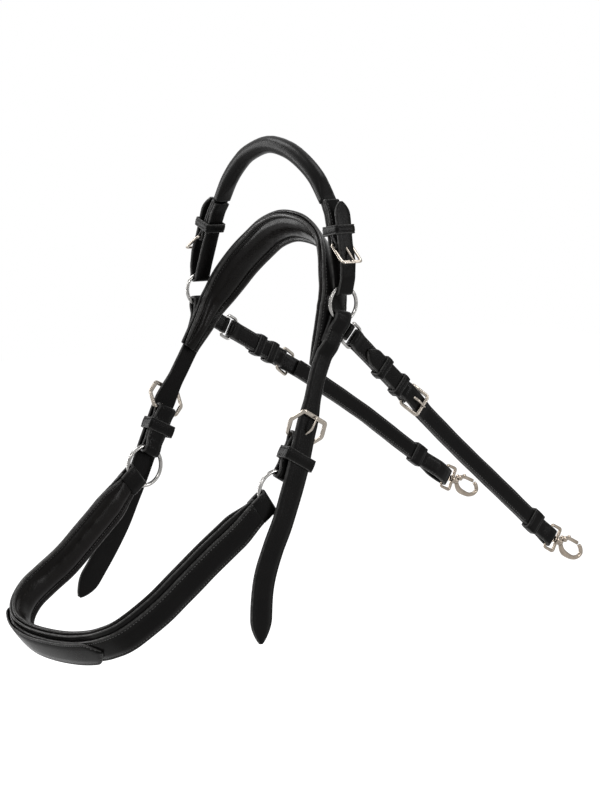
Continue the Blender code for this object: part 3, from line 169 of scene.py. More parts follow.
# Routes down the middle of each strap, in millimetres
CROWN_ROUTE = [
    (-106, -40.5, -124), (-106, -30.5, -108), (-106, -21, -94), (-106, -12, -80), (-102.5, -3.5, -67),
    (-93, 3, -51), (-78, 7, -34.5), (-55, 8.5, -17.5), (-30, 8, -3), (0, 5.6, 4.7), (30, 4, 3),
    (55, -0.5, -4), (78, -10, -13), (93, -17, -27), (102, -21.5, -49), (105.6, -25, -63), (106, -27, -72),
    (106, -29.5, -80), (106, -34.5, -96), (106, -41.5, -117), (106, -45, -126)]
BILLET_ROUTE = {
    "near": [
        (106, -20, -64), (106, -24, -80), (106, -32, -97), (106, -41, -114), (107, -49, -131),
        (108, -54.8, -149), (108.8, -59.8, -166), (109.6, -66, -184), (110.4, -71.3, -201),
        (111.2, -76.3, -218), (112, -85.5, -242), (113, -96, -267), (113.5, -107.5, -290),
        (113.5, -117, -315), (113.5, -121, -340), (113.5, -122, -378)],
    "off": [
        (-106, -20, -64), (-106, -20.5, -80), (-106, -23.5, -97), (-106, -30, -114), (-107, -39.5, -131),
        (-108.4, -49.5, -149), (-109.6, -59.5, -166), (-110.4, -69, -184), (-110.8, -76.5, -201),
        (-111.2, -84, -218), (-112, -95, -244), (-113, -108, -272), (-113.5, -122, -300),
        (-113.5, -139, -326), (-113.5, -155, -348), (-113.5, -168, -365)]}
CHEST_ROUTE = [
    (108, -95.5, -238.5), (107.8, -117.8, -254.8), (106.5, -141, -272.4), (103.5, -170, -294),
    (99.5, -198, -317.2), (92, -221, -339), (76, -244, -361), (55, -252, -372), (30, -255, -379),
    (0, -258.5, -383.2), (-35, -261.5, -384.2), (-60, -262.6, -382), (-78.5, -261.6, -376),
    (-92.8, -253.9, -364.5), (-101.2, -239, -351.3), (-105.4, -218.5, -339), (-106, -194.4, -323.5),
    (-106.5, -169.5, -302), (-107.2, -144.5, -280), (-107.8, -119.5, -258), (-108, -95.5, -238.5)]
ROLL_ROUTE = [
    (-77, 29.0), (-64.5, 48.4), (-49, 64.3), (-31, 76.2), (-1.2, 84.7), (27, 81), (50.8, 71),
    (74, 54.6), (92, 32)]
SNAP_ROUTE = {
    "near": [
        (3.5, -100.5), (31, -124.5), (66, -155), (125, -206.5), (172, -244.8), (222, -285.5), (264, -319.8)],
    "off": [
        (14, -106.8), (50, -126), (91, -147.8), (145, -179.2), (190, -207), (222, -228.7), (264, -257.2),
        (306, -285.7)]}

ACROSS_NECK = Vector((0, 0.647, -0.762))
ACROSS_BILLET = (0, 0.9, -0.43)
SIDES = {"near": 1, "off": -1}

# Snap straps: distances from the dee to the buckle, and back from the buckle or the hook's eye
SNAP_ACROSS = {"near": (0, 0.629, 0.777), "off": (0, 0.5, 0.866)}
SNAP_HEEL = {"near": 86.0 * MM, "off": 70.0 * MM}
SNAP_KEEPERS_BACK = {"near": (42.0 * MM, 14.0 * MM), "off": (32.0 * MM, 14.0 * MM)}
SNAP_SLIDER_BACK = {"near": 28.0 * MM, "off": 48.6 * MM}
SNAP_LOOP_BOW = {"near": 0.0, "off": 5.5 * MM}
SNAP_LOOP_LENGTH = 35.0 * MM
HOOK_TURN = {"near": math.radians(12), "off": math.radians(10)}
SNAP_TIP_AT = 18.0 * MM
SNAP_KEEPER_PLAY = 1.4 * MM
SLIDER_LENGTH = 16.0 * MM
SLIDER_PLAY = 0.4 * MM
SNAP_CHAPE_THICK = 2.6 * MM

# Hand strap: the heights between which its sides are laid out, then (x, z) pairs in millimetres
HAND_FRAME_TOP = 40.0 * MM
HAND_FRAME_FOOT = -90.0 * MM
HAND_INNER_LEG = [(90.2, 29.0), (95.2, 20), (100.8, 0), (105.5, -20), (109.3, -38)]
HAND_OUTER_LEG = [(121.5, -40), (121.5, -24), (117, -9), (114.5, 5), (112, 18), (108, 32)]
HAND_CHAPE_START = (94.0, 31.5)
HAND_CHAPE_BEND = [(99.6, 20), (104.6, 6)]
HAND_BAR = (110.0, -8.0)
HAND_FAR_BAR = (127.0, -23.0)
HAND_KEEPER_AXIS = [(108.2, -4), (104.5, 14)]
HAND_LEAN = {"near": math.radians(-2), "off": math.radians(9.5)}
HAND_KEEPER_DEPTH = 20.0 * MM
HAND_KEEPER_PLAY = 1.6 * MM
HAND_CHAPE_THICK = 2.2 * MM

# Levels and places that follow from the values above
MAIN_BUCKLE_END_WIDTH = BILLET_WIDTH + MAIN_BUCKLE_PLAY
MAIN_BUCKLE_FLARE_WIDTH = MAIN_BUCKLE_END_WIDTH + MAIN_BUCKLE_FLARE
SMALL_BUCKLE_WIDTH = SNAP_STRAP_WIDTH + SMALL_BUCKLE_PLAY
SNAP_EYE_WIDTH = SNAP_STRAP_WIDTH + SNAP_EYE_WIRE + SNAP_EYE_PLAY
LOWER_RING_CENTRE = Vector((LOWER_RING_X, LOWER_RING_Y, LOWER_RING_Z))
BUCKLE_BAR = {side: LOWER_RING_CENTRE + MAIN_CHAPE_LENGTH[side] * Vector(
    (0, math.sin(MAIN_CHAPE_LEAN[side]), math.cos(MAIN_CHAPE_LEAN[side]))) for side in SIDES}
BILLET_LEVEL = CROWN_THICK + CROWN_GAP / 2 + 1.3 * CROWN_GAP + BILLET_THICK / 2
UPPER_RING_X = SIDE_X + BILLET_LEVEL + UPPER_RING_WIRE / 2 + WIRE_CLEARANCE + BILLET_THICK / 2
HAND_FOLD_Z = RING_CENTRE_Z + UPPER_RING_WIRE / 2 + math.sqrt(
    ((UPPER_RING_DIAMETER - UPPER_RING_WIRE) ** 2 - HAND_STRAP_WIDTH ** 2) / 4)
DEE_HALF_WIDTH = (SNAP_STRAP_WIDTH + DEE_WIRE + DEE_PLAY) / 2
BOSS_LOW = SNAP_EYE_DEPTH - SWIVEL_BOSS_LENGTH / 2
BOSS_HIGH = SNAP_EYE_DEPTH + SWIVEL_BOSS_LENGTH / 2
NECK_AT = BOSS_HIGH + TOUCH_GAP
HOOK_START = NECK_AT + HOOK_NECK_LENGTH
GATE_PIVOT = (HOOK_START + 1.5 * MM, HOOK_WIDTH / 2 * 0.55)
EAR_ROOM = GATE_WIRE / 2 + TOUCH_GAP
EAR_OUT = EAR_ROOM + HOOK_EAR_THICK

# An open loop's shares of its length back from the eye and of its bow
LOOP_FORM = ((1.0, 0.0), (0.75, 0.5), (0.5, 1.0), (0.25, 0.9))
# The hook's middle line, as shares of its length and half width
HOOK_FORM = (
    (-0.06, 0.0), (0.09, 0.70), (0.28, 1.0), (0.63, 0.98), (0.88, 0.62), (1.0, 0.0), (0.92, -0.55),
    (0.80, -0.78))

# Finish
STITCH_PITCH = 3.2 * MM
STITCH_LENGTH = 2.4 * MM
STITCH_RADIUS = 0.36 * MM
STRAP_PITCH = 3.0 * MM
CROWN_RIM = 4.6 * MM
CHEST_RIM = 3.6 * MM
PAD_END_EASE = 26.0 * MM
VALLEY_ROOM = 0.9 * MM
EDGE_ROW = 2.2 * MM
CROWN_ROW = 3.6 * MM
CHEST_ROW = 3.0 * MM
STITCH_SINK = 0.1 * MM
KEEPER_WALL = 1.5 * MM
TAB_SHOWN = 7.0 * MM
LOWER_RING_REACH = (LOWER_RING_DIAMETER + LOWER_RING_WIRE) / 2
TAB_END = LOWER_RING_REACH + TAB_SHOWN
CHEST_END_EASE = 30.0 * MM


# Materials
def wire(tree, made, inputs):
    """Sets a node's inputs: each is another node's output to link, or a value."""
    for key, value in inputs.items():
        if isinstance(value, bpy.types.NodeSocket):
            tree.links.new(value, made.inputs[key])
        else:
            made.inputs[key].default_value = value


def node(tree, kind, inputs, **settings):
    """A shader node with its settings and inputs."""
    made = tree.nodes.new(kind)
    for key, value in settings.items():
        setattr(made, key, value)
    wire(tree, made, inputs)
    return made


def clouds(tree, place, scale, detail, rough=0.5, distortion=0.0):
    """Noise over the object's own place."""
    inputs = {"Vector": place, "Scale": scale, "Detail": detail, "Roughness": rough, "Distortion": distortion}
    return node(tree, "ShaderNodeTexNoise", inputs).outputs["Fac"]


def mixed(tree, share, first, second):
    """A colour between two, each an output or three numbers."""
    inputs = {0: share}
    for key, colour in ((6, first), (7, second)):
        inputs[key] = (*colour, 1.0) if isinstance(colour, tuple) else colour
    return node(tree, "ShaderNodeMix", inputs, data_type="RGBA").outputs[2]


def maths(tree, operation, *terms):
    """A sum of outputs and numbers, one of the Math node's operations."""
    return node(tree, "ShaderNodeMath", dict(enumerate(terms)), operation=operation).outputs[0]


def spread(tree, value, low, high, start=0.0, end=1.0):
    """A value carried over from start and end to low and high."""
    inputs = {"Value": value, "From Min": start, "From Max": end, "To Min": low, "To Max": high}
    return node(tree, "ShaderNodeMapRange", inputs).outputs["Result"]


def bumped(tree, height, strength, distance):
    """A surface direction that follows a height."""
    inputs = {"Height": height, "Strength": strength, "Distance": distance}
    return node(tree, "ShaderNodeBump", inputs).outputs["Normal"]


def new_skin(name):
    """A material, its tree, its shader and the object's own place."""
    made = bpy.data.materials.new(name)
    made.use_nodes = True
    tree = made.node_tree
    place = node(tree, "ShaderNodeTexCoord", {}).outputs["Object"]
    return made, tree, tree.nodes["Principled BSDF"], place


def leather_skin(name, dark, light, rough, grain, relief, specular, crease):
    """Dyed leather: pebbled grain, slow colour change, and paler, smoother edges; the pale edge colour is
    partly real edge wear and partly a painted highlight.
    """
    made, tree, shader, place = new_skin(name)
    slow = clouds(tree, place, 34.0, 4.0, 0.6)
    # The edge value marks the rounded edges: their pale colour is partly real scuffed edge wear and partly a
    # painted highlight along the edges.
    wear_and_highlight = node(tree, "ShaderNodeAttribute", {}, attribute_name="wear_and_highlight").outputs["Fac"]
    worn_and_highlit = maths(tree, "MULTIPLY", wear_and_highlight, clouds(tree, place, 260.0, 3.0))
    pale = sum(light) / 3 * EDGE_PALER
    pebbles = {"Vector": place, "Scale": grain, "Smoothness": 0.6}
    cells = node(tree, "ShaderNodeTexVoronoi", pebbles, feature="SMOOTH_F1").outputs["Distance"]
    height = maths(tree, "MULTIPLY_ADD", clouds(tree, place, grain * 2.6, 3.0), 0.35, cells)
    if crease:
        folds = clouds(tree, place, 95.0, 5.0, 0.55, 1.4)
        height = maths(tree, "MULTIPLY_ADD", folds, crease, height)
    gloss = spread(tree, slow, rough - 0.04, rough + 0.04)
    wire(tree, shader, {
        "Base Color": mixed(tree, worn_and_highlit, mixed(tree, slow, dark, light), (pale, pale * 0.98, pale * 0.96)),
        "Normal": bumped(tree, height, relief, 0.0005),
        "Roughness": maths(tree, "MULTIPLY_ADD", wear_and_highlight, -0.10, gloss),
        "Specular IOR Level": specular})
    return made


def thread_skin(name, colour):
    """Waxed thread: a fine twist of light and dark along each stitch."""
    made, tree, shader, place = new_skin(name)
    twist = clouds(tree, place, 1500.0, 2.0)
    dark = (colour * 0.55, colour * 0.54, colour * 0.54)
    light = (colour * 1.5, colour * 1.46, colour * 1.42)
    wire(tree, shader, {
        "Base Color": mixed(tree, twist, dark, light), "Normal": bumped(tree, twist, 0.4, 0.0002),
        "Roughness": 0.42, "Specular IOR Level": 0.35})
    return made


def metal_skin(name, dark, light, rough):
    """Satin plated metal: brushed haze and faint tarnish."""
    made, tree, shader, place = new_skin(name)
    haze = spread(tree, clouds(tree, place, 120.0, 5.0, 0.62), 0.0, 1.0, 0.15, 0.85)
    fine = clouds(tree, place, 900.0, 3.0)
    wire(tree, shader, {
        "Base Color": mixed(tree, haze, dark, light), "Normal": bumped(tree, fine, 0.05, 0.0001),
        "Roughness": spread(tree, fine, rough - 0.04, rough + 0.05), "Metallic": 1.0})
    return made


# How much paler than the dyed leather the edges are: partly real edge wear, partly a painted highlight.
EDGE_PALER = 18.0
STRAP_SKIN = leather_skin(
    "strap_leather", (0.0022, 0.0021, 0.0021), (0.0045, 0.0042, 0.0040), 0.27, 950.0, 0.13, 0.045, 0.0)
PAD_SKIN = leather_skin(
    "pad_leather", (0.0025, 0.0022, 0.0021), (0.0056, 0.0047, 0.0042), 0.26, 760.0, 0.16, 0.070, 0.35)
ROLL_SKIN = leather_skin(
    "roll_leather", (0.0024, 0.0023, 0.0023), (0.0047, 0.0044, 0.0042), 0.34, 820.0, 0.035, 0.070, 0.15)
THREAD_SKIN = thread_skin("waxed_thread", 0.042)
THREAD = 1
RING_SKIN = metal_skin("satin_nickel", (0.17, 0.166, 0.16), (0.37, 0.362, 0.35), 0.21)
BUCKLE_SKIN = metal_skin("buckle_nickel", (0.18, 0.160, 0.136), (0.39, 0.352, 0.308), 0.22)
HOOK_SKIN = metal_skin("hook_nickel", (0.16, 0.134, 0.108), (0.36, 0.310, 0.260), 0.21)

# Each look: its skins by number, the thread's being THREAD, and the slot that it fills
LEATHER = ((STRAP_SKIN, THREAD_SKIN), "black_leather")
PLAIN = ((STRAP_SKIN,), "black_leather")
LINING = ((PAD_SKIN, THREAD_SKIN), "black_lining")
ROLLED = ((ROLL_SKIN, THREAD_SKIN), "black_leather")
RINGS = ((RING_SKIN,), "satin_nickel")
BUCKLES = ((BUCKLE_SKIN,), "satin_nickel")
HOOKS = ((HOOK_SKIN,), "satin_nickel")


# Lines
def eased(share):
    """A share held between 0 and 1 that starts and ends gently."""
    share = min(1.0, max(0.0, share))
    return share * share * (3 - 2 * share)


def around(sides, offset=0.0):
    """(cos, sin) pairs round a circle."""
    turns = [math.tau * (step + offset) / sides for step in range(sides)]
    return [(math.cos(turn), math.sin(turn)) for turn in turns]


def metres(points):
    """Points given in millimetres, in metres."""
    return [Vector(point) * MM for point in points]


def marks_of(line):
    """The distance along a line at each of its points."""
    marks = [0.0]
    for first, second in zip(line, line[1:]):
        marks.append(marks[-1] + (second - first).length)
    return marks


def span_at(marks, distance):
    """The span that a distance falls in, and the share of it that is passed."""
    low = min(max(bisect_right(marks, distance) - 1, 0), len(marks) - 2)
    return low, (distance - marks[low]) / max(1e-9, marks[low + 1] - marks[low])


def catmull(points, per_span):
    """A smooth line through the points."""
    knots = [Vector(point) for point in points]
    ends = [2 * knots[0] - knots[1]] + knots + [2 * knots[-1] - knots[-2]]
    line = []
    for index in range(1, len(ends) - 2):
        before, here, there, after = ends[index - 1:index + 3]
        for step in range(per_span):
            t = step / per_span
            line.append(0.5 * (
                2 * here + (there - before) * t
                + (2 * before - 5 * here + 4 * there - after) * t * t
                + (3 * here - before - 3 * there + after) * t ** 3))
    line.append(knots[-1])
    return line


class Route:
    """A smooth line with a width direction; side is 1 where across x along points out, else -1."""

    def __init__(self, points, across, side=1):
        self.line = catmull(points, 12)
        self.across_hint = Vector(across).normalized()
        self.side = side
        self.marks = marks_of(self.line)
        self.length = self.marks[-1]

    def middle(self, s):
        """The point at the distance s, straight on past either end."""
        if s <= 0:
            return self.line[0] + (self.line[1] - self.line[0]).normalized() * s
        if s >= self.length:
            return self.line[-1] + (self.line[-1] - self.line[-2]).normalized() * (s - self.length)
        low, share = span_at(self.marks, s)
        return self.line[low].lerp(self.line[low + 1], share)

    def frame(self, s):
        """Running direction, direction across and direction out at s."""
        reach = 2.0 * MM
        along = (self.middle(s + reach) - self.middle(s - reach)).normalized()
        across = (self.across_hint - along * self.across_hint.dot(along)).normalized()
        return along, across, along.cross(across) * self.side

    def point(self, s, out, over=0.0):
        """The point at s, moved out of the leather and over across it."""
        _, across, outward = self.frame(s)
        return self.middle(s) + outward * out + across * over

    def nearest(self, place):
        """The distance along the route of the point nearest to a place."""
        best = min(range(len(self.line)), key=lambda index: (self.line[index] - place).length)
        return self.marks[best]


def fill(points, longest):
    """The same line with its long legs split."""
    line = [Vector(points[0])]
    for point in points[1:]:
        start = line[-1]
        leg = Vector(point) - start
        pieces = max(1, math.ceil(leg.length / longest - 1e-9))
        for piece in range(1, pieces + 1):
            line.append(start + leg * piece / pieces)
    return line


def soften(points, rounds, closed):
    """The same line with its corners cut off, round by round; an open line keeps its ends."""
    line = [Vector(point) for point in points]
    for _ in range(rounds):
        cut = [] if closed else [line[0]]
        last = len(line) if closed else len(line) - 1
        for index in range(last):
            here = line[index]
            there = line[(index + 1) % len(line)]
            cut.append(here.lerp(there, 0.25))
            cut.append(here.lerp(there, 0.75))
        if not closed:
            cut.append(line[-1])
        line = cut
    return line


def arc(centre, radius, start, end, steps):
    """Points of a 2D arc, in degrees."""
    points = []
    for step in range(steps + 1):
        angle = math.radians(start + (end - start) * step / steps)
        points.append((centre[0] + radius * math.cos(angle), centre[1] + radius * math.sin(angle)))
    return points


def rounded_loop(corners, radii, steps, longest):
    """A closed 2D outline with each corner rounded by its own fillet and no leg over the longest."""
    outline = []
    count = len(corners)
    for index, corner in enumerate(corners):
        radius = radii[index]
        here = Vector(corner)
        back = (Vector(corners[index - 1]) - here).normalized()
        on = (Vector(corners[(index + 1) % count]) - here).normalized()
        half = math.acos(max(-1.0, min(1.0, back.dot(on)))) / 2
        reach = radius / math.tan(half)
        centre = here + (back + on).normalized() * radius / math.sin(half)
        start = (here + back * reach - centre) / radius
        end = (here + on * reach - centre) / radius
        sweep = math.pi - 2 * half
        for step in range(steps + 1):
            share = step / steps
            weight = math.sin((1 - share) * sweep) / math.sin(sweep)
            other = math.sin(share * sweep) / math.sin(sweep)
            outline.append(centre + (start * weight + end * other) * radius)
    return fill(outline + outline[:1], longest)[:-1]


def fold_reach(diameter, wire_size, strap_width):
    """From a round wire's centre to the middle of the bend of a flat strap that is folded round it."""
    inner = (diameter - wire_size) / 2
    return math.sqrt(inner ** 2 - (strap_width / 2) ** 2) + wire_size / 2


class Path:
    """A strap's middle line with its directions at each station."""

    def __init__(self, line, across, outward, closed=False):
        self.line = line
        self.across = across
        self.outward = outward
        self.closed = closed
        self.marks = marks_of(line)
        self.length = self.marks[-1]

    def at(self, distance):
        """Point, across and outward at a distance along the strap."""
        low, share = span_at(self.marks, max(0.0, min(self.length, distance)))
        point, across, outward = (
            each[low].lerp(each[low + 1], share) for each in (self.line, self.across, self.outward))
        return point, across.normalized(), outward.normalized()


def laid(route, profile, closed=False, rounds=2, shift=0.0):
    """The path of leather whose profile of (along, out) pairs is laid on a route and shifted across it."""
    flat = fill(profile + profile[:1] if closed else profile, STRAP_PITCH * 2)
    if closed:
        flat = flat[:-1]
    flat = soften(flat, rounds, closed)
    line = []
    across = []
    outward = []
    last = len(flat) - 1
    for index, (s, out) in enumerate(flat):
        before = flat[index - 1] if index > 0 or closed else flat[0]
        after = flat[(index + 1) % len(flat)] if index < last or closed else flat[last]
        along, over, outer = route.frame(s)
        turn = (after - before).normalized()
        line.append(route.point(s, out, shift))
        across.append(over)
        outward.append(outer * turn[0] - along * turn[1])
    if closed:
        line.append(line[0].copy())
        across.append(across[0].copy())
        outward.append(outward[0].copy())
    return Path(line, across, outward, closed)


def level(start, end, out, pitch=STRAP_PITCH):
    """A level profile from start to end."""
    count = max(2, math.ceil((end - start) / pitch))
    return [(start + (end - start) * step / count, out) for step in range(count + 1)]


# Meshes
class Shell:
    """A mesh in the making, with a value at each point for edge wear and painted edge highlight, and a skin
    number on each face.
    """

    def __init__(self):
        self.points = []
        self.wear_and_highlight = []
        self.faces = []
        self.skins = []

    def loft(self, sections, wear_and_highlight=0.0, skin=0, closed=False):
        """A tube through sections of equal length; the value for edge wear and painted edge highlight is one
        list for a section, or a number.
        """
        count = len(sections[0])
        spans = len(sections) if closed else len(sections) - 1
        faces = []
        for span in range(spans):
            here = span * count
            there = (span + 1) % len(sections) * count
            for corner in range(count):
                after = (corner + 1) % count
                faces.append((here + corner, here + after, there + after, there + corner))
        if not closed:
            last = (len(sections) - 1) * count
            faces.append(tuple(reversed(range(count))))
            faces.append(tuple(range(last, last + count)))
        start = len(self.points)
        self.points += [point for section in sections for point in section]
        self.wear_and_highlight += list(wear_and_highlight) * len(sections) if isinstance(wear_and_highlight, list) else [wear_and_highlight] * len(sections) * count
        self.faces += [tuple(corner + start for corner in face) for face in faces]
        self.skins += [skin] * len(faces)

    def build(self, name, body, look):
        """The visible piece that stands for the node of the same name."""
        skins, slot = look
        mesh = bpy.data.meshes.new(name)
        mesh.from_pydata([tuple(point) for point in self.points], [], self.faces)
        shell = bmesh.new()
        shell.from_mesh(mesh)
        bmesh.ops.recalc_face_normals(shell, faces=shell.faces)
        shell.to_mesh(mesh)
        shell.free()
        for skin in skins:
            mesh.materials.append(skin)
        mesh.polygons.foreach_set("material_index", self.skins)
        mesh.polygons.foreach_set("use_smooth", [True] * len(self.faces))
        # Edge wear and painted edge highlight, read by the leather for its pale edges.
        store = mesh.attributes.new("wear_and_highlight", "FLOAT", "POINT")
        store.data.foreach_set("value", self.wear_and_highlight)
        made = bpy.data.objects.new(name, mesh)
        bpy.context.scene.collection.objects.link(made)
        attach(made, body)
        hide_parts(name)
        return made


def mirrored(half):
    """The other half of a section, back from its middle."""
    return [(-over, out, wear_and_highlight) for over, out, wear_and_highlight in reversed(half)]


def strap_outline(width, thick, crease, dome):
    """A strap's section as (over, out, edge wear and painted highlight): rounded edges, a creased line near
    each, a faint dome.
    """
    half = width / 2
    top = thick / 2
    radius = min(thick * 0.42, half * 0.5)
    flat = half - radius
    bottom = [(flat * share, -top, 0.0) for share in (-1.0, -0.5, 0.0, 0.5, 1.0)]
    # The third value is edge wear and painted edge highlight: 1 on the rounded edges, fading onto the face.
    right = []
    for angle, centre in ((-58, -top + radius), (-22, -top + radius), (22, top - radius), (58, top - radius)):
        turn = math.radians(angle)
        right.append((flat + radius * math.cos(turn), centre + radius * math.sin(turn), 1.0))
    line = min(crease, half * 0.45)
    width_of_line = min(0.55 * MM, line * 0.3)
    deep = min(0.28 * MM, line * 0.2)
    right += [
        (flat, top, 0.55), (half - line + width_of_line, top, 0.15), (half - line, top - deep, 0.0),
        (half - line - width_of_line, top + dome * 0.3, 0.1), (half * 0.42, top + dome * 0.85, 0.0)]
    return bottom + right + [(0.0, top + dome, 0.0)] + mirrored(right)


def closing(edge, toward, size, reach):
    """A smaller copy of an end section, moved on by the reach, to close a tube softly."""
    centre = sum(edge, Vector()) / len(edge)
    return [centre + (point - centre) * size + toward * reach for point in edge]


# The faint sway of a strap's edges: its size, its length and how much the seed moves it
SWAYS = ((0.12 * MM, 17 * MM, 1), (0.08 * MM, 6.3 * MM, 2))


def strap(shell, path, width, thick, seed, crease=2.2 * MM, dome=0.18 * MM):
    """Leather with rounded edges along a path; width may follow the distance."""
    sections = []
    count = len(path.line)
    for index in range(count - 1 if path.closed else count):
        distance = path.marks[index]
        wide = width(distance) if callable(width) else width
        sway = sum(size * math.sin(distance / reach + moved * seed) for size, reach, moved in SWAYS)
        outline = strap_outline(wide + 2 * sway, thick, crease, dome)
        wear_and_highlight = [item[2] for item in outline]
        point, across, outward = path.line[index], path.across[index], path.outward[index]
        sections.append([point + across * over + outward * out for over, out, _ in outline])
    if path.closed:
        shell.loft(sections, wear_and_highlight, closed=True)
        return
    first = (path.line[0] - path.line[1]).normalized()
    last = (path.line[-1] - path.line[-2]).normalized()
    sections.insert(0, closing(sections[0], first, 0.93, thick * 0.22))
    sections.append(closing(sections[-1], last, 0.93, thick * 0.22))
    shell.loft(sections, wear_and_highlight)


# A stitch's share of its half length, of its radius and of its lift, from end to end
STITCH_FORM = (
    (-1.0, 0.35, -0.75), (-0.72, 0.85, -0.1), (0.0, 1.0, 0.35), (0.72, 0.85, -0.1), (1.0, 0.35, -0.75))


def one_stitch(shell, place, along, across, outward, length):
    """A waxed stitch that rises out of the leather and dips back in at both ends."""
    sections = []
    for share, size, lift in STITCH_FORM:
        centre = place + along * share * length / 2 + outward * lift * STITCH_RADIUS
        sections.append([
            centre + (across * a + outward * b * 0.8) * STITCH_RADIUS * size for a, b in around(6)])
    shell.loft(sections, 0.0, THREAD)


def stitch_row(shell, path, over, out, start, end, slant=0.10):
    """Stitches along a path at a height out of it; over may follow the distance."""
    count = max(1, round((end - start) / STITCH_PITCH))
    step = (end - start) / count
    for index in range(count):
        distance = start + (index + 0.5) * step
        side = over(distance) if callable(over) else over
        point, across, outward = path.at(distance)
        along = (path.at(distance + 0.8 * MM)[0] - path.at(distance - 0.8 * MM)[0]).normalized()
        run = (along + across * (slant if side >= 0 else -slant)).normalized()
        one_stitch(
            shell, point + across * side + outward * out, run, outward.cross(run).normalized(), outward,
            STITCH_LENGTH * step / STITCH_PITCH)


def edge_rows(shell, path, width, inset, sink, margin):
    """A row of stitches near each edge of a strap; width is a function of the distance."""
    for sign in (-1, 1):
        stitch_row(
            shell, path, lambda distance, sign=sign: sign * max(0.2 * MM, width(distance) / 2 - inset), sink,
            margin, path.length - margin)


def tip_width(left, width, point_length, blunt=TIP_BLUNT, power=0.8):
    """A strap's width at a distance from its tip: full, then down to a rounded end."""
    share = min(1.0, max(0.0, left) / point_length)
    return blunt + (width - blunt) * math.sin(share * math.pi / 2) ** power


def waisted(width, narrow, middle, flat, length):
    """Width that is narrow for the flat distance each side of a ring's fold and widens over the length."""
    return lambda distance: narrow + (width - narrow) * eased((abs(distance - middle) - flat) / length)


def swept(shell, points, shape, normal, closed=False):
    """A bar of any section along a line; normal is the section's second direction."""
    count = len(points)
    sections = []
    for index, point in enumerate(points):
        before = points[index - 1] if index > 0 or closed else points[0]
        after = points[(index + 1) % count] if index < count - 1 or closed else points[-1]
        along = (after - before).normalized()
        up = normal(index) if callable(normal) else normal
        side = up.cross(along).normalized()
        lift = along.cross(side).normalized()
        size = shape(index) if callable(shape) else shape
        sections.append([point + side * a + lift * b for a, b in size])
    shell.loft(sections, closed=closed)


def oval(wide, deep, sides=12):
    """A round section as (side, lift) pairs."""
    return [(a * wide / 2, b * deep / 2) for a, b in around(sides, 0.5)]


# Corners of a flat bar's section, as shares of its width and depth
BAR_CORNERS = (
    (0.5, -0.16), (0.5, 0.16), (0.28, 0.5), (-0.28, 0.5), (-0.5, 0.16), (-0.5, -0.16), (-0.28, -0.5),
    (0.28, -0.5))


def bevelled(wide, deep, round_share):
    """A flat bar's section with bevelled edges, blended with a round one of the same size."""
    corners = [Vector((a * wide, b * deep)) for a, b in BAR_CORNERS]
    points = []
    for index, corner in enumerate(corners):
        points.append(corner.lerp(corners[index - 1], 0.14))
        points.append(corner.lerp(corners[(index + 1) % len(corners)], 0.14))
    balls = [Vector((a * wide / 2, b * deep / 2)) for a, b in around(16, -0.75)]
    return [tuple(flat.lerp(ball, round_share)) for flat, ball in zip(points, balls)]


def both_faces(shell, route, start, end, over, out):
    """Stitches along a route on the outer and inner face of two layers."""
    stations = [s for s, _ in level(start, end, out, 2 * MM)]
    frames = [route.frame(s) for s in stations]
    for sign in (1, -1):
        line = [route.point(s, sign * out) for s in stations]
        path = Path(line, [across for _, across, _ in frames], [outward * sign for _, _, outward in frames])
        for side in (-over, over):
            stitch_row(shell, path, side, -0.05 * MM, 0.0, path.length)


def leather(name, body, path, width, thick, rows=None, seams=None, look=LEATHER, **finish):
    """A strap as a piece; rows goes to edge_rows, seams to both_faces and finish to strap."""
    shell = Shell()
    strap(shell, path, width, thick, **finish)
    if rows:
        edge_rows(shell, path, width, *rows)
    if seams:
        both_faces(shell, *seams)
    shell.build(name, body, look)


# Neck piece
def pad_outline(width, depth, rim, share):
    """A pad's section: flat on the strap, a rolled rim at each edge, a stitched valley, a full crown."""
    half = width / 2
    roll = rim / 2
    base = [(over, 0.0, 0.0) for over in (-half + roll, -half * 0.4, half * 0.4, half - roll)]
    right = []
    for angle in (70, 35, 0, -35, -70, -105, -140):
        turn = math.radians(angle)
        # Two points of the rolled rim carry a strong painted highlight line through the edge wear value; the
        # rest of the rim carries a little edge wear.
        wear_and_highlight = 0.8 if angle in (-35, -70) else 0.1
        right.append((half - roll + roll * math.cos(turn), -roll + roll * math.sin(turn) * 1.08, wear_and_highlight))
    valley = half - rim - VALLEY_ROOM
    right.append((valley + 0.25 * MM, -rim * 0.26, 0.0))
    for step in range(1, 8):
        x = 1 - step / 8
        right.append((valley * x, -rim * 0.28 - (depth * share - rim * 0.28) * (1 - x ** 3.2), 0.0))
    return base + right + [(0.0, -depth * share, 0.0)] + mirrored(right)


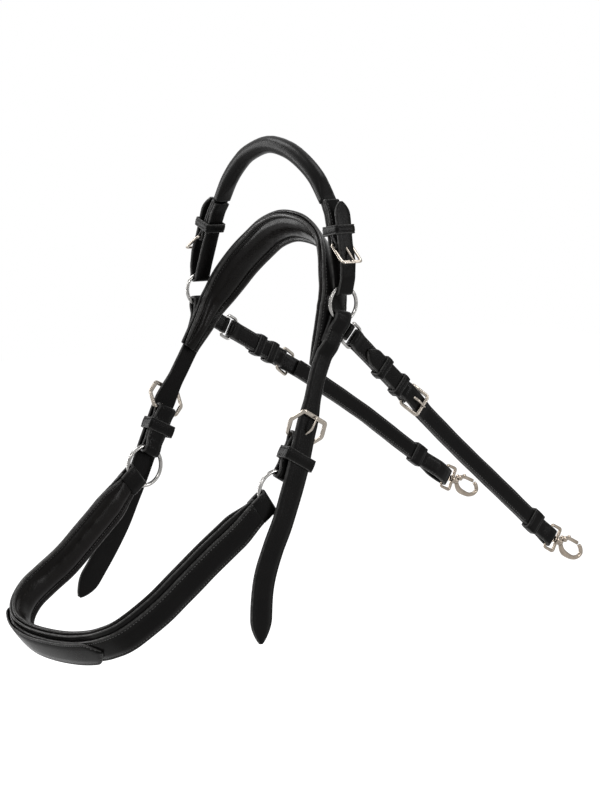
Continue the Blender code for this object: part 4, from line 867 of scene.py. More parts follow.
def padded_lining(name, body, route, start, end, width, depth, rim, top, seed):
    """A stuffed lining with soft creases and stitches in its valleys; width follows the distance."""
    shell = Shell()
    sections = []
    valley_line = []
    for s, _ in level(start, end, top, 2.4 * MM):
        near_end = max(0.0, min(1.0, min(s - start, end - s) / PAD_END_EASE))
        ease = math.sin(near_end * math.pi / 2)
        wide = width(s - start) * (0.84 + 0.16 * ease)
        outline = pad_outline(wide, depth, rim * (0.55 + 0.45 * ease), 0.42 + 0.58 * ease)
        _, across, outward = route.frame(s)
        middle = route.middle(s) + outward * top
        section = []
        for over, out, _ in outline:
            crown = max(0.0, 1 - abs(over) / (wide / 2 - rim))
            place = middle + across * over + outward * out
            puff = noise.noise(place * 85.0 + Vector((seed, 0, 0))) * 0.25 * MM
            crease = noise.noise(Vector((s * 230.0, over * 34.0, seed))) * 0.18 * MM
            section.append(place + outward * (puff + crease) * min(1.0, crown * 2.2))
        wear_and_highlight = [item[2] for item in outline]
        sections.append(section)
        valley_line.append((middle, across, outward, wide))
    ends = []
    for edge, inner in ((sections[0], sections[1]), (sections[-1], sections[-2])):
        toward = (sum(edge, Vector()) / len(edge) - sum(inner, Vector()) / len(inner)).normalized()
        ends.append([closing(edge, toward, 0.90, 1.1 * MM), closing(edge, toward, 0.66, 1.8 * MM)])
    shell.loft(ends[0][::-1] + sections + ends[1], wear_and_highlight)
    for sign in (-1, 1):
        line = [
            middle + across * sign * (wide / 2 - rim - VALLEY_ROOM) - outward * (rim * 0.26 + 0.10 * MM)
            for middle, across, outward, wide in valley_line]
        path = Path(line, [item[1] for item in valley_line], [item[2] * -1 for item in valley_line])
        stitch_row(shell, path, 0.0, 0.05 * MM, 4 * MM, path.length - 4 * MM, slant=0.08 * sign)
    shell.build(name, body, LINING)


def neck_piece():
    """The crown strap over the neck and the pad under it."""
    route = Route(metres(CROWN_ROUTE), ACROSS_NECK)
    start = CROWN_END_MARGIN
    end = route.length - CROWN_END_MARGIN
    total = end - start

    def narrowed(width):
        return lambda distance: width - (CROWN_WIDTH - CROWN_END_WIDTH) * (
            1 - eased(min(distance, total - distance) / CROWN_TAPER_LENGTH))

    path = laid(route, level(start, end, CROWN_THICK / 2 + CROWN_GAP / 2), rounds=0)
    leather(
        "crown_strap", "neck_piece", path, narrowed(CROWN_WIDTH), CROWN_THICK,
        (CROWN_ROW, CROWN_THICK / 2 - STITCH_SINK, 5 * MM), crease=CROWN_ROW, dome=0.25 * MM, seed=0.4)
    padded_lining(
        "crown_pad", "neck_piece", route, start, end, narrowed(CROWN_PAD_WIDTH), CROWN_PAD_DEPTH, CROWN_RIM,
        -CROWN_GAP / 2, 3.1)


# Buckles and keepers
def wrap(wire_size, thick):
    """From a wire's middle to the middle of the leather that goes round it."""
    return wire_size / 2 + WIRE_CLEARANCE + thick / 2


def buckle(kind, side, body, route, bar_at, toward, length, lift, wire_size, end_width, flare_width=0.0):
    """A cast frame on a folded strap's bar, and its tongue; toward is 1 or -1 along the route."""
    along, across, outward = route.frame(bar_at)
    bar = route.middle(bar_at)
    end = end_width / 2
    flare = flare_width / 2
    half = length / 2
    corners = [(0, -end), (length, -end), (length, end), (0, end)]
    if flare > end:
        corners.insert(1, (half, -flare))
        corners.insert(4, (half, flare))
    flat = rounded_loop(corners, [wire_size * 0.8] * len(corners), 5, 2.2 * MM)

    def place(reach, over, out):
        """A point by its reach from the bar, across it and out of the leather."""
        return bar + along * reach * toward + across * over + outward * out

    def frame_shape(index):
        """Round at the bar under the strap, wide and flat further on."""
        ease = min(1.0, 3 * max(0.0, min(1.0, flat[index][0] / length)))
        return bevelled(wire_size * (1.0 + 0.22 * ease), wire_size * (1.0 - 0.26 * ease), 1 - ease)

    up = across.cross((along * length * toward + outward * lift).normalized())
    if up.dot(outward) < 0:
        up = -up
    shell = Shell()
    swept(shell, [place(a, b, lift * a / length) for a, b in flat], frame_shape, up, closed=True)
    shell.build("%s_buckle_%s" % (kind, side), body, BUCKLES)

    # The tongue hooks round the bar, rises through the strap and rests on the far bar
    eye = wrap(wire_size, TONGUE_WIRE)
    rest = lift + wire_size / 2 + TONGUE_WIRE / 2 + 0.1 * MM
    profile = arc((0, 0), eye, -25, -270, 16) + [
        (0.20 * length, eye + 0.22 * (rest - eye)), (0.38 * length, eye + 0.72 * (rest - eye)),
        (0.52 * length, rest), (length + 1.5 * MM, rest)]
    points = [place(reach, 0, out) for reach, out in soften(profile, 2, False)]
    last = len(points) - 1

    def tongue_shape(index):
        taper = min(1.0, 0.45 + 0.55 * (last - index) / 6)
        return oval(TONGUE_WIRE * taper, TONGUE_WIRE * taper)

    def normal(index):
        return (points[min(index + 1, last)] - points[max(0, index - 1)]).cross(across)

    name = "%s_tongue_%s" % (kind, side)
    shell = Shell()
    swept(shell, points, tongue_shape, normal)
    shell.build(name, name, BUCKLES)


def keeper(name, body, route, at, length, width, out_low, out_high, seed, over=0.0):
    """A leather band round a strap, with a creased line near each edge."""
    half = (width + KEEPER_WALL) / 2
    low = out_low - KEEPER_WALL / 2
    high = out_high + KEEPER_WALL / 2
    corners = [(-half, low), (half, low), (half, high), (-half, high)]
    flat = rounded_loop(corners, [1.3 * MM] * 4, 4, 2.4 * MM)
    along, across, outward = route.frame(at)
    middle = route.point(at, 0, over)
    line = [middle + across * side + outward * out for side, out in flat]
    turns = [(flat[(index + 1) % len(flat)] - flat[index - 1]).normalized() for index in range(len(flat))]
    normals = [across * turn[1] - outward * turn[0] for turn in turns]
    path = Path(line + line[:1], [along] * (len(line) + 1), normals + normals[:1], True)
    leather(name, body, path, length, KEEPER_WALL, look=PLAIN, crease=1.7 * MM, dome=0.25 * MM, seed=seed)


def ring(name, centre, diameter, thickness):
    """A round welded ring whose axis is X, a body of its own."""
    steps = 72
    points = [centre + Vector((0, a, b)) * diameter / 2 for a, b in around(steps)]
    shell = Shell()

    def shape(index):
        weld = 1.0 + 0.045 * math.exp(-((index - steps * 0.6) / 0.9) ** 2)
        return oval(thickness * weld, thickness * weld, 16)

    swept(shell, points, shape, Vector((1, 0, 0)), closed=True)
    shell.build(name, name, RINGS)


def belt(first, first_radius, first_slot, second, second_radius, second_slot, thick):
    """A closed profile of two layers that goes round a bar at each end; a radius of 0 is a plain end."""
    lay = thick / 2 + LAYER_GAP / 2
    first_loop = max(first_radius, lay)
    second_loop = max(second_radius, lay)

    def leaving(bar, loop, slot, toward):
        """From the loop round a bar to where the layers lie together."""
        points = [(bar + toward * slot, loop)] if slot > 0 else []
        ease = 2.2 * (loop - lay)
        if ease > 0:
            points.append((bar + toward * (slot + ease + loop / 2), lay))
        return points

    upper = leaving(first, first_loop, first_slot, 1) + leaving(second, second_loop, second_slot, -1)[::-1]
    return (
        arc((first, 0), first_loop, 270, 90, 10) + upper + arc((second, 0), second_loop, 90, -90, 10)
        + [(s, -out) for s, out in reversed(upper)])


def shifted(route, out):
    """The same route moved out by a fixed distance."""
    points = [route.point(s, out) for s in [route.length * step / 40 for step in range(41)]]
    return Route(points, route.across_hint, route.side)


def main_chape(side, sign, route, ring_at):
    """The chape that is folded round the buckle's bar and the lower ring."""
    fold = fold_reach(LOWER_RING_DIAMETER, LOWER_RING_WIRE, CHAPE_RING_WIDTH + FOLD_EASE)
    bow = LOWER_RING_DIAMETER / 2 - fold
    radius = wrap(MAIN_BUCKLE_WIRE, CHAPE_THICK)
    loop = wrap(LOWER_RING_WIRE, CHAPE_THICK)
    path = laid(route, belt(ROUTE_LEAD, radius, 0.0, ring_at - fold, loop, bow, CHAPE_THICK), closed=True)
    bend = (path.length + math.pi * radius) / 2
    width = waisted(MAIN_CHAPE_WIDTH, CHAPE_RING_WIDTH, bend, 2 * loop, CHAPE_NARROW_LENGTH)
    seams = (
        route, ROUTE_LEAD + 9 * MM, ring_at - fold - bow - 8 * MM, MAIN_CHAPE_WIDTH / 2 - 2.6 * MM,
        CHAPE_THICK + LAYER_GAP / 2)
    leather("main_chape_" + side, "neck_piece", path, width, CHAPE_THICK, seams=seams, seed=1.2 * sign)


def billet(side, sign):
    """The billet, folded round the upper ring and sewn to itself, with its long pointed tail."""
    route = Route(metres(BILLET_ROUTE[side]), ACROSS_BILLET, sign)
    fold = fold_reach(UPPER_RING_DIAMETER, UPPER_RING_WIRE, BILLET_RING_WIDTH + FOLD_EASE)
    loop = wrap(UPPER_RING_WIRE, BILLET_THICK)
    layers = BILLET_THICK + LAYER_GAP
    clear = (UPPER_RING_DIAMETER + UPPER_RING_WIRE) / 2
    under = fold + BILLET_FOLD_LENGTH
    upper = BILLET_LEVEL + layers
    profile = [(under, BILLET_LEVEL), (clear, BILLET_LEVEL)]
    profile += arc((fold, BILLET_LEVEL + loop), loop, 270, 90, 10)
    profile += [
        (clear, BILLET_LEVEL + 2 * loop), (clear + BILLET_STEP, upper), (under + BILLET_THICK / 2, upper),
        (under + BILLET_THICK / 2 + BILLET_STEP, BILLET_LEVEL), (route.length, BILLET_LEVEL)]
    path = laid(route, profile)
    bend = under - fold + math.pi * loop / 2
    waist = waisted(BILLET_WIDTH, BILLET_RING_WIDTH, bend, BILLET_NARROW_FLAT, BILLET_NARROW_LENGTH)

    def width(distance):
        return min(tip_width(path.length - distance, BILLET_WIDTH, BILLET_POINT), waist(distance))

    seams = (
        shifted(route, BILLET_LEVEL + layers / 2), clear + 8 * MM, under - 1 * MM,
        BILLET_RING_WIDTH / 2 - EDGE_ROW, layers / 2 + BILLET_THICK / 2)
    leather("billet_" + side, "neck_piece", path, width, BILLET_THICK, seams=seams, seed=2.3 * sign)


def main_side(side, sign):
    """One side's buckle, chape, rings, billet and keeper."""
    hand = Vector((sign, 1, 1))
    bar = BUCKLE_BAR[side] * hand
    lower = LOWER_RING_CENTRE * hand
    run = (lower - bar).normalized()
    route = Route([bar - run * ROUTE_LEAD, bar, lower, lower + run * ROUTE_LEAD], ACROSS_BILLET, sign)
    buckle(
        "main", side, "neck_piece", route, ROUTE_LEAD, -1, MAIN_BUCKLE_LENGTH, MAIN_BUCKLE_LIFT,
        MAIN_BUCKLE_WIRE, MAIN_BUCKLE_END_WIDTH, MAIN_BUCKLE_FLARE_WIDTH)
    main_chape(side, sign, route, ROUTE_LEAD + (lower - bar).length)
    ring("lower_ring_" + side, lower, LOWER_RING_DIAMETER, LOWER_RING_WIRE)
    upper = Vector((UPPER_RING_X * sign, RING_CENTRE_Y, RING_CENTRE_Z))
    ring("upper_ring_" + side, upper, UPPER_RING_DIAMETER, UPPER_RING_WIRE)
    billet(side, sign)
    keeper(
        "main_keeper_" + side, "neck_piece", route, ROUTE_LEAD + MAIN_KEEPER_AT, MAIN_KEEPER_LENGTH,
        BILLET_WIDTH + MAIN_KEEPER_ROOM[side], -CHAPE_THICK - LAYER_GAP / 2 - TOUCH_GAP,
        BILLET_LEVEL + 3 * BILLET_THICK / 2 + TOUCH_GAP, 0.7, MAIN_KEEPER_OVER[side])


# Chest band
def chest_tab(side, at, toward, route):
    """A short tab round a lower ring; toward is 1 or -1 along the route."""
    loop = wrap(LOWER_RING_WIRE, CHAPE_THICK)
    fold = fold_reach(LOWER_RING_DIAMETER, LOWER_RING_WIRE, TAB_RING_WIDTH + FOLD_EASE)
    lay = CHEST_BACKING_THICK / 2 + CHEST_GAP + CHAPE_THICK / 2
    bend = arc((fold, 0), loop, 90, 270, 10)
    line = [(TAB_END, lay), (LOWER_RING_REACH, loop)] + bend + [(LOWER_RING_REACH, -loop), (TAB_END, -lay)]
    path = laid(route, [(at + toward * x, y) for x, y in line])
    leather("chest_tab_" + side, "chest_band", path, TAB_RING_WIDTH, CHAPE_THICK, seed=0.9)


def chest_backing(route):
    """The flat layer in the middle of the band."""
    total = route.length
    start = LOWER_RING_REACH + CHEST_END_MARGIN

    def width(distance):
        reach = min(distance, total - 2 * start - distance)
        narrow = CHEST_WIDTH - TAB_END_WIDTH + CHEST_STRAP_SHIFT
        return CHEST_WIDTH - narrow * max(0.0, 1 - reach / CHEST_END_TAPER)

    path = laid(route, level(start, total - start, 0.0), rounds=0)
    leather("chest_backing", "chest_band", path, width, CHEST_BACKING_THICK, crease=1.9 * MM, seed=1.7)


def chest_strap_and_pad(route):
    """The domed strap on the band's face and the stuffed lining on its back."""
    total = route.length
    start = TAB_END + CHEST_LAYER_STEP
    gap = CHEST_BACKING_THICK / 2 + CHEST_GAP
    path = laid(route, level(start, total - start, gap + CHEST_STRAP_THICK / 2), rounds=0)

    def full(distance):
        return eased(min(distance, total - 2 * start - distance) / CHEST_END_EASE)

    for index, mark in enumerate(path.marks):
        path.line[index] = path.line[index] + path.across[index] * CHEST_STRAP_SHIFT * full(mark)
    leather(
        "chest_strap", "chest_band", path,
        lambda distance: TAB_RING_WIDTH + (CHEST_STRAP_WIDTH - TAB_RING_WIDTH) * full(distance),
        CHEST_STRAP_THICK, (CHEST_ROW, CHEST_STRAP_THICK / 2 - STITCH_SINK, 3 * MM), crease=CHEST_ROW,
        dome=0.9 * MM, seed=2.9)
    padded_lining(
        "chest_pad", "chest_band", route, start, total - start,
        lambda distance: TAB_END_WIDTH + (CHEST_PAD_WIDTH + 1 * MM - TAB_END_WIDTH) * full(distance),
        CHEST_PAD_DEPTH, CHEST_RIM, -gap, 7.7)


def chest_overlay(route):
    """The pointed overlay at the middle of the strap's face."""
    out = CHEST_BACKING_THICK / 2 + 2 * CHEST_GAP + CHEST_STRAP_THICK + OVERLAY_THICK / 2 + 0.3 * MM
    middle = route.length / 2 - OVERLAY_SHIFT
    half = OVERLAY_LENGTH / 2
    path = laid(route, level(middle - half, middle + half, out, 1.5 * MM), rounds=0, shift=CHEST_STRAP_SHIFT)

    def width(distance):
        left = min(distance, path.length - distance)
        return tip_width(left, OVERLAY_WIDTH, OVERLAY_POINT, OVERLAY_BLUNT, 1.0)

    leather(
        "chest_overlay", "chest_band", path, width, OVERLAY_THICK,
        (EDGE_ROW, OVERLAY_THICK / 2 - 0.05 * MM, 3 * MM), dome=0.9 * MM, seed=4.2)


def chest_band():
    """The tabs round the lower rings, the backing, the strap, the pad and the overlay."""
    route = Route(metres(CHEST_ROUTE), ACROSS_NECK)
    chest_tab("near", 0.0, 1, route)
    chest_tab("off", route.length, -1, route)
    chest_backing(route)
    chest_strap_and_pad(route)
    chest_overlay(route)


# Hand strap
def hand_roll():
    """A roll of leather with a closing seam on its inner side, flattened to a strap at each end."""
    middle = catmull([Vector((x, 0, z)) * MM for x, z in ROLL_ROUTE], 14)
    line = [point + Vector((0, RING_CENTRE_Y, 0)) for point in middle]
    lengths = marks_of(line)
    total = lengths[-1]
    across = Vector((0, 1, 0))
    shell = Shell()
    sections = []
    seam = []
    seam_out = []
    seam_over = []
    sides = 40
    turn = 1.72 * math.pi  # where the seam runs round the roll
    for index, point in enumerate(line):
        before = line[max(0, index - 1)]
        after = line[min(len(line) - 1, index + 1)]
        along = (after - before).normalized()
        outward = along.cross(across) * -1
        share = eased(min(lengths[index], total - lengths[index]) / ROLL_FLAT_LENGTH)
        half_wide = HAND_STRAP_WIDTH / 2 + (ROLL_DIAMETER - HAND_STRAP_WIDTH) / 2 * share
        half_deep = ROLL_END_DEPTH / 2 + (ROLL_DIAMETER - ROLL_END_DEPTH) / 2 * share
        power = 0.45 + 0.55 * share
        section = []
        for step in range(sides):
            angle = math.tau * (step + 0.5) / sides
            wide = math.cos(angle)
            deep = math.sin(angle)
            lip = abs((angle - turn + math.pi) % math.tau - math.pi)
            groove = 1.0 - 0.085 * math.exp(-(lip / 0.10) ** 2) + 0.02 * math.exp(-((lip - 0.28) / 0.12) ** 2)
            fold = noise.noise(Vector((lengths[index] * 260.0, angle * 1.5, 1.3)))
            crumple = 1.0 + 0.018 * fold * max(0.0, -deep) * share
            place = (
                across * math.copysign(abs(wide) ** power, wide) * half_wide
                + outward * math.copysign(abs(deep) ** power, deep) * half_deep)
            section.append(point + place * groove * crumple)
        sections.append(section)
        seam.append(
            point + across * math.cos(turn) ** power * half_wide * 0.97
            - outward * (-math.sin(turn)) ** power * half_deep * 0.97)
        seam_out.append(across * math.cos(turn) + outward * math.sin(turn))
        seam_over.append(outward * math.cos(turn) - across * math.sin(turn))
    sections.insert(0, closing(sections[0], (line[0] - line[1]).normalized(), 0.8, 1.2 * MM))
    sections.append(closing(sections[-1], (line[-1] - line[-2]).normalized(), 0.8, 1.2 * MM))
    shell.loft(sections)
    path = Path(seam, seam_over, seam_out)
    for over in (-1.9 * MM, 1.9 * MM):
        stitch_row(shell, path, over, -0.15 * MM, 6 * MM, path.length - 6 * MM)
    shell.build("hand_roll", "hand_strap", ROLLED)


def lean(pair, side):
    """An (x, z) pair of the hand strap in metres, turned about the middle of the ring's fold."""
    pivot = Vector((UPPER_RING_X, HAND_FOLD_Z))
    turn = Matrix.Rotation(HAND_LEAN[side], 2)
    return pivot + turn @ (Vector(pair) * MM - pivot)


def hand_spot(pair, side):
    """The place of an (x, z) pair of the hand strap on one side."""
    x, z = lean(pair, side)
    return Vector((x * SIDES[side], RING_CENTRE_Y, z))


def hand_side(side, sign):
    """One end of the hand strap: the strap through the ring, the chape, the buckle and the keeper."""
    top = Vector((0, RING_CENTRE_Y, HAND_FRAME_TOP))
    foot = Vector((0, RING_CENTRE_Y, HAND_FRAME_FOOT))
    route = Route([top, (top + foot) / 2, foot], (0, 1, 0), sign)
    loop = wrap(UPPER_RING_WIRE, HAND_STRAP_THICK)
    bend = arc((UPPER_RING_X / MM, HAND_FOLD_Z / MM), loop / MM, 180, 360, 10)
    leaning = [lean(pair, side) for pair in HAND_INNER_LEG + bend + HAND_OUTER_LEG]
    path = laid(route, [(HAND_FRAME_TOP - z, x) for x, z in leaning])
    leather(
        "hand_strap_" + side, "hand_strap", path,
        lambda distance: tip_width(path.length - distance, HAND_STRAP_WIDTH, SMALL_POINT), HAND_STRAP_THICK,
        seed=3.3 * sign)

    bar = hand_spot(HAND_BAR, side)
    far = hand_spot(HAND_FAR_BAR, side)
    bend_points = [hand_spot(pair, side) for pair in HAND_CHAPE_BEND]
    start = hand_spot(HAND_CHAPE_START, side)
    chape_route = Route([start] + bend_points + [bar, bar + (bar - bend_points[-1])], (0, 1, 0), sign)
    bar_at = chape_route.nearest(bar)
    radius = wrap(SMALL_BUCKLE_WIRE, HAND_CHAPE_THICK)
    path = laid(chape_route, belt(0.0, 0.0, 0.0, bar_at, radius, 0.0, HAND_CHAPE_THICK), closed=True)
    seams = (
        chape_route, 2 * MM, bar_at - 6 * MM, HAND_STRAP_WIDTH / 2 - EDGE_ROW,
        HAND_CHAPE_THICK + LAYER_GAP / 2)
    leather(
        "hand_chape_" + side, "hand_strap", path, HAND_STRAP_WIDTH, HAND_CHAPE_THICK, seams=seams, seed=5.1)
    buckle_route = Route([bar + (bar - far), bar, far, far + (far - bar)], (0, 1, 0), sign)
    buckle(
        "hand", side, "hand_strap", buckle_route, buckle_route.nearest(bar), 1, (far - bar).length, 0.0,
        SMALL_BUCKLE_WIRE, SMALL_BUCKLE_WIDTH)
    keeper_route = Route([hand_spot(pair, side) for pair in reversed(HAND_KEEPER_AXIS)], (0, 1, 0), sign)
    keeper(
        "hand_keeper_" + side, "hand_strap", keeper_route, keeper_route.length / 2, SMALL_KEEPER_LENGTH,
        HAND_STRAP_WIDTH + HAND_KEEPER_PLAY, -HAND_KEEPER_DEPTH / 2, HAND_KEEPER_DEPTH / 2, 1.1)


# Snap straps
def dee_and_tab(side, sign, route):
    """The dee that a snap strap swings on, and the small tab that holds it to the crown's end."""
    along, across, outward = route.frame(0.0)
    centre = route.middle(0.0)
    half = DEE_HALF_WIDTH
    flat = rounded_loop(
        [(-DEE_DEPTH, -half), (0, -half), (0, half), (-DEE_DEPTH, half)],
        [DEE_CORNER, DEE_BOW_RADIUS, DEE_BOW_RADIUS, DEE_CORNER], 8, 2.0 * MM)
    shell = Shell()
    line = [centre + along * a + across * b for a, b in flat]
    swept(shell, line, oval(DEE_WIRE, DEE_WIRE, 14), outward, closed=True)
    shell.build("dee_" + side, "dee_" + side, RINGS)

    bar = centre - along * DEE_DEPTH
    sleeve = wrap(DEE_WIRE, DEE_TAB_THICK)
    flange = DEE_FLANGE_THICK / 2
    sweep = 180 - 2.2 * math.degrees(math.asin(flange / (sleeve + DEE_TAB_THICK / 2)))
    tab_line = [(-DEE_FLANGE_LENGTH, 0.35 * flange)] + arc((0, 0), sleeve, sweep, -sweep, 20)
    tab_line += [(-DEE_FLANGE_LENGTH, -0.35 * flange)]
    lead = 40  # mm of straight route to each side of the bar
    tab_route = Route([bar - along * lead * MM, bar, bar + along * lead * MM], SNAP_ACROSS[side], sign)
    path = laid(tab_route, [(lead * MM + a, b) for a, b in tab_line], rounds=1)
    leather("dee_tab_" + side, "neck_piece", path, DEE_TAB_WIDTH, DEE_TAB_THICK, crease=1.6 * MM, seed=0.2)


def snap_chape(side, body, route):
    """The chape round the dee's bow and the buckle's bar, and the buckle."""
    bow_reach = SNAP_STRAP_WIDTH - 2 * (DEE_HALF_WIDTH - DEE_BOW_RADIUS) + FOLD_EASE
    bow = DEE_BOW_RADIUS - fold_reach(2 * DEE_BOW_RADIUS, DEE_WIRE, bow_reach)
    loop = wrap(DEE_WIRE, SNAP_CHAPE_THICK)
    heel = SNAP_HEEL[side]
    radius = wrap(SMALL_BUCKLE_WIRE, SNAP_CHAPE_THICK)
    path = laid(route, belt(-bow, loop, bow, heel, radius, 0.0, SNAP_CHAPE_THICK), closed=True)
    seams = (
        route, 10 * MM, heel - 8 * MM, SNAP_STRAP_WIDTH / 2 - 2.0 * MM, SNAP_CHAPE_THICK + LAYER_GAP / 2)
    leather("snap_chape_" + side, body, path, SNAP_STRAP_WIDTH, SNAP_CHAPE_THICK, seams=seams, seed=1.9)
    buckle(
        "snap", side, body, route, heel, 1, SMALL_BUCKLE_LENGTH, SNAP_BUCKLE_LIFT, SMALL_BUCKLE_WIRE,
        SMALL_BUCKLE_WIDTH)


def snap_strap(side, sign, body, route):
    """The strap from its tip on the chape, through the buckle and round the hook's eye, and its keepers."""
    end = route.length
    heel = SNAP_HEEL[side]
    far = heel + SMALL_BUCKLE_LENGTH
    lay = SNAP_STRAP_THICK / 2 + LAYER_GAP / 2
    over_chape = SNAP_CHAPE_THICK + LAYER_GAP / 2 + TOUCH_GAP + SNAP_STRAP_THICK / 2
    over_heel = SMALL_BUCKLE_WIRE / 2 + WIRE_CLEARANCE + SNAP_CHAPE_THICK + TOUCH_GAP + SNAP_STRAP_THICK / 2
    under_bar = SNAP_BUCKLE_LIFT - SMALL_BUCKLE_WIRE / 2 - TOUCH_GAP - SNAP_STRAP_THICK / 2
    profile = [
        (SNAP_TIP_AT, over_chape), (heel - 8.5 * MM, over_chape), (heel - 4.5 * MM, over_heel),
        (heel + 5 * MM, over_heel), (far - 2 * MM, under_bar), (far + 2 * MM, under_bar - TOUCH_GAP),
        (far + 12 * MM, lay)]
    eye_loop = wrap(SNAP_EYE_WIRE, SNAP_STRAP_THICK)
    skew = SNAP_STRAP_WIDTH / 2 * math.tan(HOOK_TURN[side]) + TOUCH_GAP
    bow = SNAP_LOOP_BOW[side]
    if bow > 0:
        wide = [(end - share * SNAP_LOOP_LENGTH, lay + out * bow) for share, out in LOOP_FORM]
        wide.append((end - skew, eye_loop + 0.3 * bow))
    else:
        wide = [(end - skew - 11 * MM, lay), (end - skew - 1.5 * MM, eye_loop)]
    profile += wide + arc((end + skew, 0), eye_loop, 90, -90, 10)
    profile += [(s, -out) for s, out in reversed(wide)] + [(far + 5 * MM, -lay)]
    slider_at = end - SNAP_SLIDER_BACK[side]
    seams = (
        route, far + 14 * MM, slider_at - 12 * MM, SNAP_STRAP_WIDTH / 2 - EDGE_ROW,
        SNAP_STRAP_THICK + LAYER_GAP / 2)
    leather(
        body, body, laid(route, profile), lambda distance: tip_width(distance, SNAP_STRAP_WIDTH, SMALL_POINT),
        SNAP_STRAP_THICK, seams=seams, seed=6.1 * sign)

    room = SNAP_STRAP_WIDTH + SNAP_KEEPER_PLAY
    low = -SNAP_CHAPE_THICK - LAYER_GAP / 2 - TOUCH_GAP
    high = over_chape + SNAP_STRAP_THICK / 2 + TOUCH_GAP
    for index, back in enumerate(SNAP_KEEPERS_BACK[side]):
        name = "snap_keeper_%d_%s" % (index + 1, side)
        keeper(name, body, route, heel - back, SMALL_KEEPER_LENGTH, room, low, high, index + sign)
    slide = lay + SNAP_STRAP_THICK / 2 + SLIDER_PLAY
    name = "snap_slider_" + side
    keeper(name, name, route, slider_at, SLIDER_LENGTH, room, -slide, slide, 2.2)


def snap_side(side, sign):
    """One side's dee, tab, chape, buckle, strap, keepers and snap hook."""
    body = "snap_strap_" + side
    plane_x = (SIDE_X - DEE_DROP) * sign
    points = [Vector((plane_x, y * MM, z * MM)) for y, z in SNAP_ROUTE[side]]
    route = Route(points, SNAP_ACROSS[side], sign)
    dee_and_tab(side, sign, route)
    snap_chape(side, body, route)
    snap_strap(side, sign, body, route)
    hook = SnapHook(side, route)
    hook.eye()
    hook.body()
    hook.gate()
    hook.pin()


